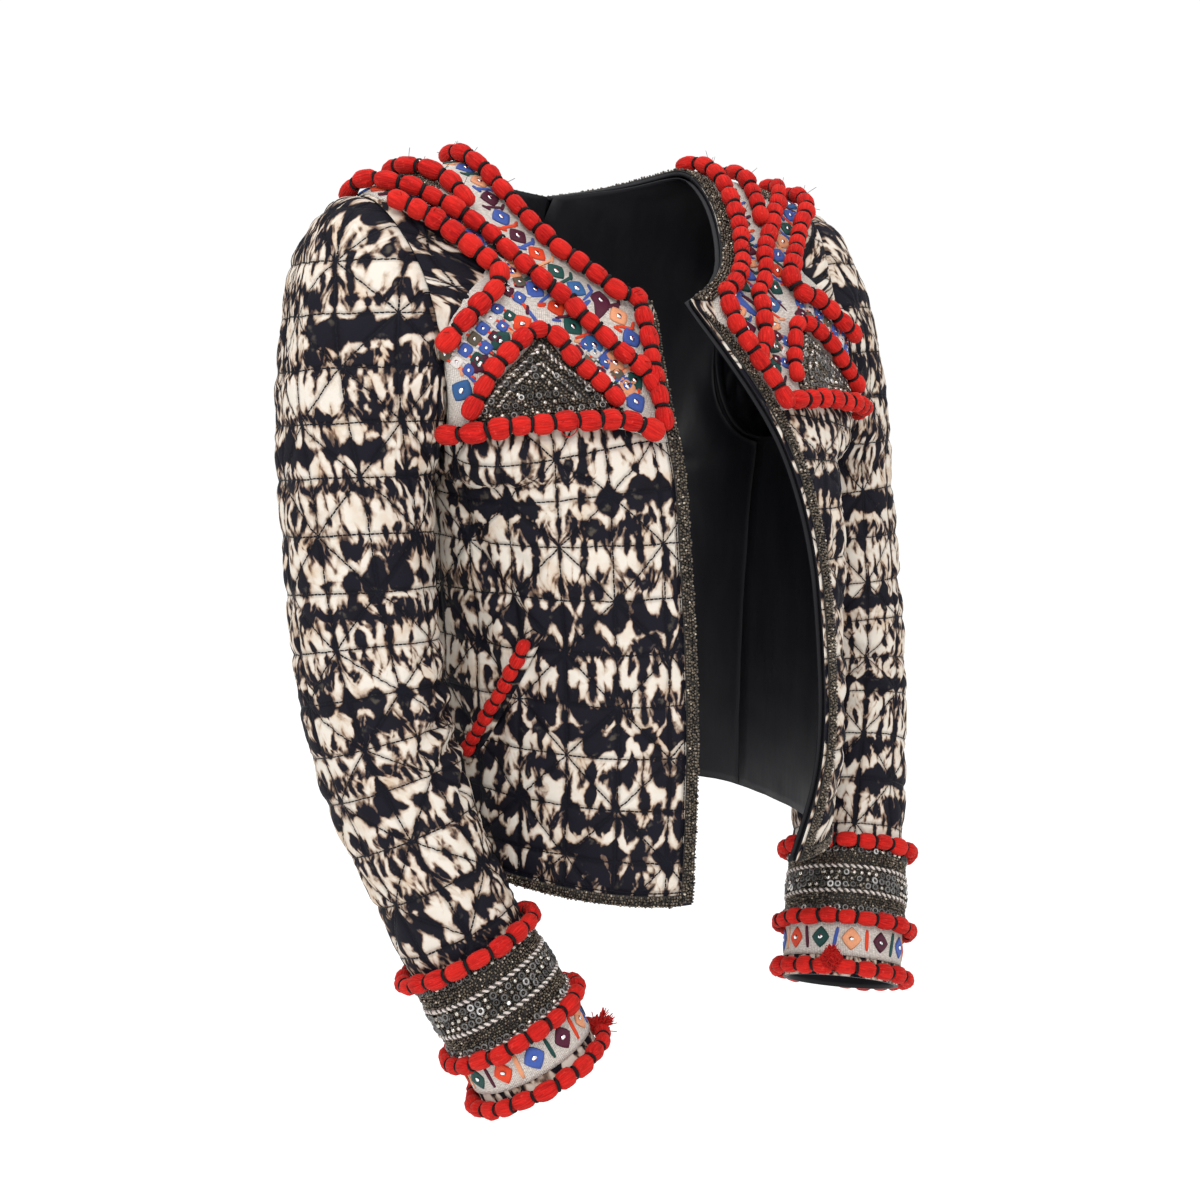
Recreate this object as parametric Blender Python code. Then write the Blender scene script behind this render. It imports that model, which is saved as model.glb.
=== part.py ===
"""A cropped, collarless quilted jacket, in the hollow form it has when it is worn.

Metres, +Z up. The wearer faces -Y and their left is +X. The origin is the middle of the
neck hole at shoulder height, where the wearer's shoulders carry the jacket.
The body is one surface that runs from the front hem over the shoulder to the back hem.
It is cut into a front and a back, and everything sewn on lies on that surface, moved out.
"""

import math

import bmesh
import bpy
import numpy as np

# Cloth and trim thicknesses
SHELL_WALL = 0.004
LINING_WALL = 0.001
YOKE_WALL = 0.0012
BEAD_WALL = 0.002
SEAM_GAP = 0.0004
LAYER_GAP = 0.0004
YOKE_GAP = 0.0018
ARMHOLE_GAP = 0.0007

# Place along the arm, sideways, forward and down, and the sleeve's half sizes there
ARM_STATIONS = (
    # x, y, z, half_side, half_front
    (0.2150, -0.0160, -0.240, 0.0500, 0.0560),
    (0.2170, -0.0230, -0.300, 0.0490, 0.0550),
    (0.2180, -0.0320, -0.350, 0.0480, 0.0530),
    (0.2150, -0.0440, -0.400, 0.0475, 0.0505),
    (0.2060, -0.0590, -0.450, 0.0455, 0.0480),
    (0.1920, -0.0760, -0.500, 0.0430, 0.0460),
    (0.1770, -0.0920, -0.545, 0.0425, 0.0450),
    (0.1560, -0.1120, -0.595, 0.0435, 0.0460),
    (0.1410, -0.1250, -0.632, 0.0440, 0.0465),
)

# The armhole seam: angle 0 at the shoulder point, 90 in front, 180 under the arm, 270 behind
ARMHOLE = (
    # angle, x, y, z
    (0, 0.1950, 0.004, -0.037),
    (30, 0.1900, -0.030, -0.054),
    (60, 0.1820, -0.054, -0.090),
    (90, 0.1800, -0.070, -0.136),
    (120, 0.1780, -0.072, -0.178),
    (150, 0.1700, -0.046, -0.209),
    (180, 0.1610, -0.002, -0.219),
    (210, 0.1610, 0.034, -0.208),
    (240, 0.1640, 0.057, -0.178),
    (270, 0.1690, 0.064, -0.138),
    (300, 0.1780, 0.056, -0.094),
    (330, 0.1900, 0.036, -0.056),
)

# The side seam, hem to underarm
SIDE_SEAM = (
    # x, y, z
    (0.150, 0.003, -0.503),
    (0.149, 0.002, -0.437),
    (0.149, 0.000, -0.370),
    (0.152, -0.001, -0.307),
    (0.156, -0.002, -0.255),
    (0.161, -0.002, -0.219),
)

# The two front edges, hem to neck corner. The left one swings open, the right one hangs straight
FRONT_EDGES = {
    "right": (
        # x, y, z
        (0.046, -0.171, -0.517),
        (0.041, -0.169, -0.445),
        (0.038, -0.165, -0.375),
        (0.038, -0.160, -0.310),
        (0.037, -0.153, -0.255),
        (0.036, -0.147, -0.222),
        (0.035, -0.136, -0.191),
        (0.031, -0.117, -0.150),
        (0.020, -0.092, -0.110),
    ),
    "left": (
        (0.046, -0.175, -0.503),
        (0.072, -0.170, -0.450),
        (0.079, -0.168, -0.397),
        (0.078, -0.165, -0.345),
        (0.075, -0.160, -0.292),
        (0.069, -0.152, -0.248),
        (0.058, -0.140, -0.204),
        (0.036, -0.120, -0.155),
        (0.013, -0.090, -0.106),
    ),
}

# The neckline, front corner over the shoulder to the middle of the back
NECKLINE = (
    # place, x, y, z
    (1.00, 0.020, -0.092, -0.110),
    (1.25, 0.050, -0.074, -0.090),
    (1.50, 0.074, -0.050, -0.066),
    (1.75, 0.088, -0.022, -0.037),
    (2.00, 0.094, 0.010, -0.014),
    (2.33, 0.086, 0.040, -0.012),
    (2.66, 0.052, 0.062, -0.022),
    (3.00, 0.000, 0.070, -0.030),
)

# The middle of the back, neck to hem
CENTRE_BACK = (
    # y, z
    (0.070, -0.030),
    (0.096, -0.080),
    (0.110, -0.140),
    (0.110, -0.200),
    (0.100, -0.260),
    (0.090, -0.320),
    (0.088, -0.380),
    (0.094, -0.440),
    (0.102, -0.500),
)

# Rows across the body, front hem over the shoulder to back hem
# run: metres along the body. centre: 0-1 front edge, 1-3 neckline, 3-4 centre back
# side: 0-1 side seam, 1-2 front armhole, 2-3 back armhole, 3-4 side seam
# roundness: 1 bends like a barrel, 0 is straight. lift: metres the middle is raised
# rise: metres the row climbs as it reaches the armhole. fullness: how square the barrel is
BODY_ROWS = (
    # run, centre, side, roundness, lift, rise, fullness
    (0.000, 0.000, 0.000, 1.00, 0.000, 0.000, 0.58),
    (0.070, 0.177, 0.231, 1.00, 0.000, 0.000, 0.58),
    (0.140, 0.349, 0.465, 1.00, 0.000, 0.000, 0.60),
    (0.204, 0.509, 0.685, 1.00, 0.000, 0.000, 0.64),
    (0.257, 0.644, 0.867, 1.00, 0.000, 0.006, 0.70),
    (0.291, 0.725, 1.000, 1.00, 0.000, 0.020, 0.72),
    (0.325, 0.801, 1.250, 1.00, 0.000, 0.026, 0.66),
    (0.368, 0.902, 1.417, 0.90, 0.000, 0.012, 0.58),
    (0.412, 1.000, 1.583, 0.75, 0.002, 0.000, 0.58),
    (0.452, 1.450, 1.722, 0.50, 0.004, 0.000, 0.58),
    (0.488, 1.780, 1.861, 0.25, 0.005, 0.000, 0.58),
    (0.520, 2.000, 2.000, 0.10, 0.005, 0.000, 0.58),
    (0.552, 2.300, 2.140, 0.20, 0.005, 0.000, 0.58),
    (0.585, 2.650, 2.280, 0.40, 0.004, 0.000, 0.58),
    (0.615, 3.000, 2.400, 0.60, 0.003, 0.000, 0.62),
    (0.672, 3.180, 2.560, 0.85, 0.002, 0.008, 0.62),
    (0.730, 3.350, 2.740, 1.00, 0.000, 0.022, 0.62),
    (0.788, 3.470, 3.000, 1.00, 0.000, 0.030, 0.62),
    (0.833, 3.550, 3.133, 1.00, 0.000, 0.014, 0.62),
    (0.885, 3.640, 3.315, 1.00, 0.000, 0.004, 0.62),
    (0.948, 3.755, 3.535, 1.00, 0.000, 0.000, 0.58),
    (1.015, 3.878, 3.769, 1.00, 0.000, 0.000, 0.58),
    (1.082, 4.000, 4.000, 1.00, 0.000, 0.000, 0.58),
)
SHOULDER_RUN = 0.520
NECK_CORNER_RUN = 0.412
BACK_NECK_RUN = 0.615
BACK_HEM_RUN = 1.082

# The yoke's outer edge, from its lower corner up round the notch and over the shoulder
YOKE_OUTER_EDGE = (
    # across, run
    (0.975, 0.320),
    (0.975, 0.350),
    (0.975, 0.380),
    (0.900, 0.395),
    (0.700, 0.414),
    (0.560, 0.427),
    (0.535, 0.436),
    (0.565, 0.447),
    (0.730, 0.470),
    (0.880, 0.487),
    (0.972, 0.502),
    (0.975, 0.530),
    (0.975, 0.552),
)

# Middle lines of the wool rows, on either yoke
WOOL_ROWS = {
    # across, run
    "middle": (
        (0.76, 0.545), (0.74, 0.520), (0.60, 0.495), (0.43, 0.467), (0.31, 0.450),
        (0.285, 0.432), (0.275, 0.413), (0.20, 0.400), (0.155, 0.385), (0.130, 0.365),
    ),
    "short": ((0.42, 0.548), (0.385, 0.520), (0.360, 0.498), (0.335, 0.480)),
    "outer": (
        (0.95, 0.545), (0.95, 0.520), (0.925, 0.497), (0.83, 0.487), (0.67, 0.470),
        (0.515, 0.447), (0.485, 0.437), (0.510, 0.426), (0.65, 0.413), (0.83, 0.397),
        (0.930, 0.384),
    ),
    "base": (
        (0.935, 0.327), (0.73, 0.328), (0.52, 0.331), (0.33, 0.332), (0.18, 0.331),
        (0.135, 0.330),
    ),
    "peak": (
        (0.80, 0.345), (0.70, 0.358), (0.58, 0.380), (0.51, 0.390), (0.45, 0.394),
        (0.39, 0.392), (0.32, 0.379), (0.245, 0.357), (0.200, 0.346),
    ),
}
WOOL_RADIUS = 0.0066
NECK_ROW_INSET = 0.0150
YOKE_INSET = 0.0100
YOKE_FOOT_RUN = 0.320
YOKE_END_RUN = 0.552

# The beaded insert under the peak row: foot corners and top
INSERT_FOOT = (0.285, 0.700)
INSERT_TOP = (0.435, 0.475)
INSERT_RUNS = (0.341, 0.382)

# Seed-bead bands along the edges, metres in from the edge
EDGE_BAND = (0.0025, 0.0085)
NECK_BAND = (0.0020, 0.0065)

# The slanted pocket, upper and lower end, and its welt
POCKET = ((0.585, 0.186), (0.845, 0.086))
WELT_WIDTH = 0.013
WELT_WALL = 0.0015
POCKET_WOOL_RADIUS = 0.0045

# Bands and wool rings of the cuff, metres up from the sleeve's end
CUFF_BEADS = (0.0430, 0.1045)
CUFF_EMBROIDERY = (0.0150, 0.0410)
CUFF_RINGS = {"upper": 0.1030, "middle": 0.0420, "lower": 0.0060}

# How the sleeve leaves the armhole: over the shoulder, at the sides, under the arm
HEAD_SPRING = 0.95
SLEEVE_LEAVES = {"top": (1.0, 0.0, -0.10), "side": (0.60, 0.30, -0.80), "under": (0.10, 0.0, -1.0)}


def natural_spline(knots, values):
    """A natural cubic spline through rows of values, as a function of arrays."""
    x = np.asarray(knots, float)
    y = np.asarray(values, float)
    count = len(x)
    step = np.diff(x)
    matrix = np.zeros((count, count))
    matrix[0, 0] = matrix[-1, -1] = 1.0
    right = np.zeros_like(y)
    for i in range(1, count - 1):
        matrix[i, i - 1 : i + 2] = step[i - 1], 2 * (step[i - 1] + step[i]), step[i]
        right[i] = 6 * ((y[i + 1] - y[i]) / step[i] - (y[i] - y[i - 1]) / step[i - 1])
    bend = np.linalg.solve(matrix, right)

    def at(q):
        q = np.asarray(q, float)
        i = np.clip(np.searchsorted(x, q, side="right") - 1, 0, count - 2)
        wide = step[i][..., None]
        after = q[..., None] - x[i][..., None]
        before = wide - after
        ends = (y[i] / wide - bend[i] * wide / 6) * before
        ends = ends + (y[i + 1] / wide - bend[i + 1] * wide / 6) * after
        return ends + (bend[i] * before**3 + bend[i + 1] * after**3) / (6 * wide)

    return at


def along(rows):
    """Share of the way along rows of points, by distance."""
    points = np.asarray(rows, float)
    steps = np.linalg.norm(np.diff(points, axis=0), axis=1)
    run = np.concatenate([[0.0], np.cumsum(steps)])
    return run / run[-1]


def armhole_curve():
    rows = np.array(ARMHOLE, float)
    angles = np.concatenate([rows[-4:, 0] - 360, rows[:, 0], rows[:4, 0] + 360])
    points = np.concatenate([rows[-4:, 1:], rows[:, 1:], rows[:4, 1:]])
    return natural_spline(angles, points)


ARMHOLE_AT = armhole_curve()
SIDE_SEAM_AT = natural_spline(
    [(z - SIDE_SEAM[0][2]) / (SIDE_SEAM[-1][2] - SIDE_SEAM[0][2]) for _, _, z in SIDE_SEAM], SIDE_SEAM
)
ROWS_AT = natural_spline([row[0] for row in BODY_ROWS], [row[1:] for row in BODY_ROWS])


def side_line(place):
    """Points of the side seam and armhole, hem to hem."""
    place = np.asarray(place, float)[..., None]
    seam = SIDE_SEAM_AT(np.clip(np.minimum(place, 4 - place), 0, 1)[..., 0])
    angle = np.where(place < 2, 180 * (2 - place), 360 - 180 * (place - 2))[..., 0]
    hole = ARMHOLE_AT(np.clip(angle, 0, 360))
    return np.where((place > 1) & (place < 3), hole, seam)


def centre_line(place, side_name):
    """Points of the front edge, neckline and centre back, hem to hem."""
    edge_rows = np.array(FRONT_EDGES[side_name], float)
    low, high = edge_rows[0, 2], edge_rows[-1, 2]
    edge_at = natural_spline((edge_rows[:, 2] - low) / (high - low), edge_rows)
    neck_rows = np.array(NECKLINE, float)
    neck_rows[0, 1:] = edge_rows[-1]
    neck_at = natural_spline(neck_rows[:, 0], neck_rows[:, 1:])
    back = np.array([(0.0, y, z) for y, z in CENTRE_BACK])
    back_at = natural_spline(3 + along(back), back)
    place = np.asarray(place, float)
    shown = place[..., None]
    points = np.where(shown < 1, edge_at(np.clip(place, 0, 1)), neck_at(np.clip(place, 1, 3)))
    return np.where(shown > 3, back_at(np.clip(place, 3, 4)), points)


def body_point(side_name, across, run):
    """The outer surface of half the body, mirrored to its own side.

    across is 0 at the centre line and 1 at the side line, run is metres from the front hem."""
    across, run = np.broadcast_arrays(np.asarray(across, float), np.asarray(run, float))
    row = ROWS_AT(run)
    start = centre_line(np.clip(row[..., 0], 0, 4), side_name)
    end = side_line(np.clip(row[..., 1], 0, 4))
    round_share, lift, rise, full = (row[..., i : i + 1] for i in range(2, 6))
    reach = end - start
    straight = reach / 3 * (1 - round_share)
    sideways = reach * (1, 0, 0) * full + reach * (0, 0, 1 / 3)
    backward = reach * (0, 1, 0) * full + reach * (0, 0, 1 / 3)
    up = lift * (0.0, 0.0, 1.0)
    climb = rise * (0.0, 0.0, 1.0)
    first = start + straight + sideways * round_share + up
    second = end - straight - backward * round_share + up - climb
    s = across[..., None]
    point = (1 - s) ** 3 * start + 3 * (1 - s) ** 2 * s * first + 3 * (1 - s) * s**2 * second + s**3 * end
    return point * ((-1, 1, 1) if side_name == "right" else (1, 1, 1))


def body_normal(side_name, across, run):
    """The unit normal of the body surface, pointing out."""
    step = 1e-3
    across, run = np.broadcast_arrays(np.asarray(across, float), np.asarray(run, float))
    a0, a1 = np.clip(across - step, 0, 1), np.clip(across + step, 0, 1)
    r0 = np.clip(run - step, 0, BACK_HEM_RUN - step)
    r1 = np.clip(run + step, step, BACK_HEM_RUN)
    sideways = body_point(side_name, a1, run) - body_point(side_name, a0, run)
    upward = body_point(side_name, across, r1) - body_point(side_name, across, r0)
    normal = np.cross(sideways, upward) if side_name == "left" else np.cross(upward, sideways)
    middle = (across < 1e-9) & (run > BACK_NECK_RUN - 1e-9)
    normal[..., 0] = np.where(middle, 0.0, normal[..., 0])
    return normal / np.linalg.norm(normal, axis=-1, keepdims=True)


def arm_frame(z):
    """Centre, sideways axis, forward axis and half sizes of the sleeve at heights z."""
    rows = np.array(ARM_STATIONS, float)
    stations = natural_spline(-rows[:, 2], rows)
    place = stations(-z)
    centre = place[..., :3]
    ahead = stations(-z + 0.002)[..., :3] - stations(-z - 0.002)[..., :3]
    ahead = ahead / np.linalg.norm(ahead, axis=-1, keepdims=True)
    sideways = np.array([1.0, 0, 0]) - ahead * ahead[..., :1]
    sideways = sideways / np.linalg.norm(sideways, axis=-1, keepdims=True)
    forward = np.cross(sideways, ahead)
    return centre, sideways, -forward, place[..., 3:4], place[..., 4:5], ahead


def sleeve_point(side_name, angle, down):
    """The outer surface of a sleeve. angle is as on the armhole, in degrees.

    down runs 0 to 1 over the sleeve head, then 1 to 2 along the arm."""
    angle, down = np.broadcast_arrays(np.asarray(angle, float), np.asarray(down, float))
    top_z, end_z = ARM_STATIONS[0][2], ARM_STATIONS[-1][2]
    z = top_z + (end_z - top_z) * np.clip(down - 1, 0, 1)
    centre, sideways, forward, half_side, half_front, ahead = arm_frame(z)
    turn = np.radians(angle)[..., None]
    ring = centre + sideways * half_side * np.cos(turn) + forward * half_front * np.sin(turn)
    start = ARMHOLE_AT(np.mod(angle, 360)) + (ARMHOLE_GAP, 0.0, 0.0)
    cosine, sine = np.cos(turn), np.sin(turn)
    top, side, under = (np.array(SLEEVE_LEAVES[k]) for k in ("top", "side", "under"))
    side = side * np.concatenate([np.ones_like(sine), -np.sign(sine) * np.abs(sine), np.ones_like(sine)], -1)
    leave = top * ((1 + cosine) / 2) ** 2 + under * ((1 - cosine) / 2) ** 2 + side * sine**2 / 2
    leave = leave / np.linalg.norm(leave, axis=-1, keepdims=True)
    span = np.linalg.norm(ring - start, axis=-1, keepdims=True)
    t = np.clip(down, 0, 1)[..., None]
    head = (2 * t**3 - 3 * t**2 + 1) * start + (t**3 - 2 * t**2 + t) * leave * span * HEAD_SPRING
    head = head + (3 * t**2 - 2 * t**3) * ring + (t**3 - t**2) * ahead * span * HEAD_SPRING
    point = np.where(down[..., None] < 1, head, ring)
    return point * ((-1, 1, 1) if side_name == "right" else (1, 1, 1))


# MAKING THE PIECES
def patch(side_name, across, run, out):
    """Points of the body surface over a grid, moved out along its normal."""
    return body_point(side_name, across, run) + body_normal(side_name, across, run) * out


def settle(side_name, points, across, run):
    """The places on the body surface nearest to points, from a first guess."""
    step = 1e-4
    for _ in range(6):
        here = body_point(side_name, across, run)
        sideways = (body_point(side_name, across + step, run) - here) / step
        upward = (body_point(side_name, across, run + step) - here) / step
        miss = points - here
        aa = (sideways**2).sum(-1)
        bb = (upward**2).sum(-1)
        ab = (sideways * upward).sum(-1)
        am, bm = (sideways * miss).sum(-1), (upward * miss).sum(-1)
        spread = aa * bb - ab**2
        across = np.clip(across + (am * bb - bm * ab) / spread, 0, 1)
        run = np.clip(run + (bm * aa - am * ab) / spread, 0.0002, BACK_HEM_RUN - 0.0002)
    return across, run


def inset(side_name, run, metres):
    """Places a distance in from the front edge or neckline, level with the given runs."""
    run = np.asarray(run, float)
    edge = body_point(side_name, 0.0, run)
    step = 1e-3
    ahead = body_point(side_name, 0.0, run + step) - body_point(side_name, 0.0, run - step)
    ahead = ahead / np.linalg.norm(ahead, axis=-1, keepdims=True)
    inward = body_point(side_name, step, run) - edge
    inward = inward - ahead * (inward * ahead).sum(-1, keepdims=True)
    inward = inward / np.linalg.norm(inward, axis=-1, keepdims=True)
    length = np.linalg.norm(np.diff(body_point(side_name, np.linspace(0, 1, 9)[:, None], run), axis=0), axis=-1)
    return settle(side_name, edge + inward * metres, metres / length.sum(0), run)


def material(name, colour, roughness):
    """A plain shading material."""
    made = bpy.data.materials.new(name)
    made.use_nodes = True
    shader = made.node_tree.nodes["Principled BSDF"]
    shader.inputs["Base Color"].default_value = (*colour, 1.0)
    shader.inputs["Roughness"].default_value = roughness
    return made


def solid(name, points, faces, slot):
    """One object from points and faces, with its faces turned out."""
    mesh = bpy.data.meshes.new(name)
    mesh.from_pydata([tuple(p) for p in points], [], faces)
    work = bmesh.new()
    work.from_mesh(mesh)
    bmesh.ops.recalc_face_normals(work, faces=work.faces)
    if work.calc_volume(signed=True) < 0:
        bmesh.ops.reverse_faces(work, faces=work.faces)
    work.to_mesh(mesh)
    work.free()
    mesh.materials.append(slot)
    made = bpy.data.objects.new(name, mesh)
    bpy.context.scene.collection.objects.link(made)
    return made


def wall(name, patches, slot):
    """A closed wall from pairs of grids, its outside and its inside. Edges that meet are joined."""
    places, outside, inside, faces = {}, [], [], []
    for over, under in patches:
        ids = np.zeros(over.shape[:2], int)
        for i, j in np.ndindex(*ids.shape):
            key = tuple(np.round(over[i, j], 6) + 0.0)
            if key not in places:
                places[key] = len(outside)
                outside.append(over[i, j])
                inside.append(under[i, j])
            ids[i, j] = places[key]
        for i, j in np.ndindex(ids.shape[0] - 1, ids.shape[1] - 1):
            faces.append((ids[i, j], ids[i + 1, j], ids[i + 1, j + 1]))
            faces.append((ids[i, j], ids[i + 1, j + 1], ids[i, j + 1]))
    count = len(outside)
    used = {}
    for face in faces:
        for a, b in zip(face, face[1:] + face[:1]):
            key = (min(a, b), max(a, b))
            used[key] = used.get(key, 0) + 1
    rims = [(a, b, b + count, a + count) for (a, b), times in used.items() if times == 1]
    under = [tuple(i + count for i in face[::-1]) for face in faces]
    return solid(name, outside + inside, faces + under + rims, slot)


def tube(name, middle, away, radius, slot, closed=False, sides=6):
    """A round bar along a line of points. away holds the direction out of the cloth at each."""
    middle, away = np.asarray(middle), np.asarray(away)
    if closed:
        ahead = np.roll(middle, -1, 0) - np.roll(middle, 1, 0)
    else:
        ahead = np.gradient(middle, axis=0)
    ahead = ahead / np.linalg.norm(ahead, axis=1, keepdims=True)
    away = away - ahead * (away * ahead).sum(1, keepdims=True)
    away = away / np.linalg.norm(away, axis=1, keepdims=True)
    beside = np.cross(ahead, away)
    turn = np.radians(np.arange(sides) * 360 / sides)[:, None, None]
    rings = (middle + radius * (np.cos(turn) * away + np.sin(turn) * beside)).transpose(1, 0, 2)
    count = len(middle)
    faces = []
    for i in range(count if closed else count - 1):
        for j in range(sides):
            k, m = (i + 1) % count, (j + 1) % sides
            faces.append((i * sides + j, i * sides + m, k * sides + m, k * sides + j))
    if not closed:
        faces.append(tuple(range(sides)))
        faces.append(tuple((count - 1) * sides + j for j in reversed(range(sides))))
    return solid(name, rings.reshape(-1, 3), faces, slot)


def steps(*parts):
    """Values that run through the given ends, with a number of steps between each two."""
    values = [parts[0]]
    for low, count, high in zip(parts[:-1:2], parts[1::2], parts[2::2]):
        values.extend(np.linspace(low, high, count + 1)[1:])
    return np.array(values)


FRONT_RUNS = steps(0.0, 9, 0.291, 6, NECK_CORNER_RUN, 6, SHOULDER_RUN)
BACK_RUNS = steps(SHOULDER_RUN, 4, BACK_NECK_RUN, 7, 0.788, 9, BACK_HEM_RUN)
ACROSS = np.linspace(0.0, 0.999, 9)
YOKE_ACROSS = np.linspace(0.0, 1.0, 9)


def body_walls(kind, low, high, slot, columns):
    """Both fronts and the back of one layer, between two distances out of the body surface."""
    fronts = FRONT_RUNS.copy()
    fronts[-1] -= SEAM_GAP / 2
    back = BACK_RUNS.copy()
    back[0] += SEAM_GAP / 2
    halves = []
    for side_name in ("right", "left"):
        grids = [patch(side_name, columns[:, None], fronts, out) for out in (high, low)]
        wall(f"{kind}_front_{side_name}", [grids], slot)
        grids = [patch(side_name, columns[:, None], back, out) for out in (high, low)]
        for grid in grids:
            grid[0, back >= BACK_NECK_RUN - 1e-9, 0] = 0.0
        halves.append(grids)
    wall(f"{kind}_back", halves, slot)


def sleeve_patch(side_name, angle, down, out):
    """Points of the sleeve surface over a grid, moved out along its normal."""
    step = 1e-3
    around = sleeve_point(side_name, angle + 0.5, down) - sleeve_point(side_name, angle - 0.5, down)
    low, high = np.maximum(down - step, 0), np.minimum(down + step, 2)
    along_it = sleeve_point(side_name, angle, high) - sleeve_point(side_name, angle, low)
    normal = np.cross(along_it, around) if side_name == "right" else np.cross(around, along_it)
    normal = normal / np.linalg.norm(normal, axis=-1, keepdims=True)
    return sleeve_point(side_name, angle, down) + normal * out, normal


def armhole_angles():
    """The angles at which the rows of the body reach the armhole."""
    rows = np.concatenate([FRONT_RUNS, BACK_RUNS[1:]])
    place = ROWS_AT(rows)[:, 1]
    place = place[(place > 1 + 1e-6) & (place < 3 - 1e-6)]
    angles = np.where(place < 2, 180 * (2 - place), 360 - 180 * (place - 2))
    return np.sort(np.mod(np.concatenate([[180.0], angles]), 360))


def down_at(metres):
    """Where on the sleeve a distance up from its end is."""
    down = np.linspace(1, 2, 101)
    top_z, end_z = ARM_STATIONS[0][2], ARM_STATIONS[-1][2]
    middle = arm_frame(top_z + (end_z - top_z) * (down - 1))[0]
    length = np.concatenate([[0], np.cumsum(np.linalg.norm(np.diff(middle, axis=0), axis=1))])
    return np.interp(length[-1] - metres, length, down)


def sleeve(side_name, slot):
    angles = armhole_angles()
    angles = np.concatenate([angles, angles[:1] + 360])
    down = steps(0.0, 5, 1.0, 9, 2.0)
    grids = [sleeve_patch(side_name, angles[:, None], down, out)[0] for out in (0.0, -SHELL_WALL)]
    for grid in grids:
        grid[-1] = grid[0]
    wall(f"sleeve_{side_name}", [grids], slot)


def cuff(side_name, bead_slot, cloth_slot, wool_slot):
    """The bands and wool rings sewn round the end of a sleeve."""
    angles = armhole_angles()
    angles = np.concatenate([angles, angles[:1] + 360])
    for name, reach, thick, slot in (
        ("beads", CUFF_BEADS, BEAD_WALL, bead_slot),
        ("embroidery", CUFF_EMBROIDERY, YOKE_WALL, cloth_slot),
    ):
        down = np.linspace(down_at(reach[1]), down_at(reach[0]), 4 if name == "beads" else 2)
        heights = (LAYER_GAP * 2 + thick, LAYER_GAP * 2)
        grids = [sleeve_patch(side_name, angles[:, None], down, out)[0] for out in heights]
        for grid in grids:
            grid[-1] = grid[0]
        wall(f"cuff_{name}_{side_name}", [grids], slot)
    for name, metres in CUFF_RINGS.items():
        out = WOOL_RADIUS + LAYER_GAP + (0.0 if name == "lower" else LAYER_GAP * 2 + BEAD_WALL)
        middle, away = sleeve_patch(side_name, angles[:-1], down_at(metres), out)
        tube(f"wool_cuff_{name}_{side_name}", middle, away, WOOL_RADIUS, wool_slot, closed=True)


def yoke(side_name, slot):
    """The embroidered yoke, from above the bust over the shoulder."""
    corner = NECK_CORNER_RUN
    lower = np.linspace(YOKE_FOOT_RUN, corner - YOKE_INSET * 1.25, 7)
    upper = np.linspace(corner + YOKE_INSET, YOKE_END_RUN, 8)
    inner = np.stack(inset(side_name, np.concatenate([lower, upper]), YOKE_INSET), -1)
    inner[0, 1], inner[-1, 1] = YOKE_FOOT_RUN, YOKE_END_RUN
    edge = np.array(YOKE_OUTER_EDGE)
    share = (inner[:, 1] - YOKE_FOOT_RUN) / (YOKE_END_RUN - YOKE_FOOT_RUN)
    runs = YOKE_FOOT_RUN + share * (YOKE_END_RUN - YOKE_FOOT_RUN)
    outer = np.stack([np.interp(runs, edge[:, 1], edge[:, 0]), runs], -1)
    places = inner[:, None] + (outer - inner)[:, None] * YOKE_ACROSS[:, None]
    grids = [patch(side_name, places[..., 0], places[..., 1], out) for out in (YOKE_GAP + YOKE_WALL, YOKE_GAP)]
    wall(f"yoke_{side_name}", [grids], slot)


def insert(side_name, slot):
    """The beaded insert under the peak of wool."""
    up = np.linspace(0, 1, 4)
    left = INSERT_FOOT[0] + (INSERT_TOP[0] - INSERT_FOOT[0]) * up
    right = INSERT_FOOT[1] + (INSERT_TOP[1] - INSERT_FOOT[1]) * up
    across = left + (right - left) * np.linspace(0, 1, 5)[:, None]
    runs = INSERT_RUNS[0] + (INSERT_RUNS[1] - INSERT_RUNS[0]) * up
    low = YOKE_GAP + YOKE_WALL + 2 * LAYER_GAP
    grids = [patch(side_name, across, runs, out) for out in (low + BEAD_WALL, low)]
    wall(f"bead_insert_{side_name}", [grids], slot)


def wool_row(name, side_name, places, radius, base, slot, pitch=0.010):
    """A wool row along places on the body, resting on a layer of height base."""
    places = np.asarray(places, float)
    curve = natural_spline(along(body_point(side_name, places[:, 0], places[:, 1])), places)
    fine = curve(np.linspace(0, 1, 200))
    rows = body_point(side_name, fine[:, 0], fine[:, 1])
    share = along(rows)
    length = np.linalg.norm(np.diff(rows, axis=0), axis=1).sum()
    even = np.interp(np.linspace(0, 1, max(3, int(length / pitch) + 1)), share, np.linspace(0, 1, 200))
    spots = curve(even)
    away = body_normal(side_name, spots[:, 0], spots[:, 1])
    middle = body_point(side_name, spots[:, 0], spots[:, 1]) + away * (base + LAYER_GAP / 2 + radius)
    tube(f"wool_{name}_{side_name}", middle, away, radius, slot)


def neck_row_places(side_name):
    """The wool row that follows the front edge of the yoke and then the neckline."""
    lower = np.linspace(YOKE_FOOT_RUN + 0.006, NECK_CORNER_RUN - 0.022, 5)
    upper = np.linspace(NECK_CORNER_RUN + 0.016, YOKE_END_RUN - 0.007, 7)
    return np.stack(inset(side_name, np.concatenate([lower, upper]), NECK_ROW_INSET), -1)


def band(name, patches, slot):
    """A seed-bead band from grids of places on the body."""
    grids = []
    for side_name, across, runs in patches:
        pair = [patch(side_name, across, runs, out) for out in (LAYER_GAP + BEAD_WALL, LAYER_GAP)]
        grids.append(pair)
    wall(name, grids, slot)


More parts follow.
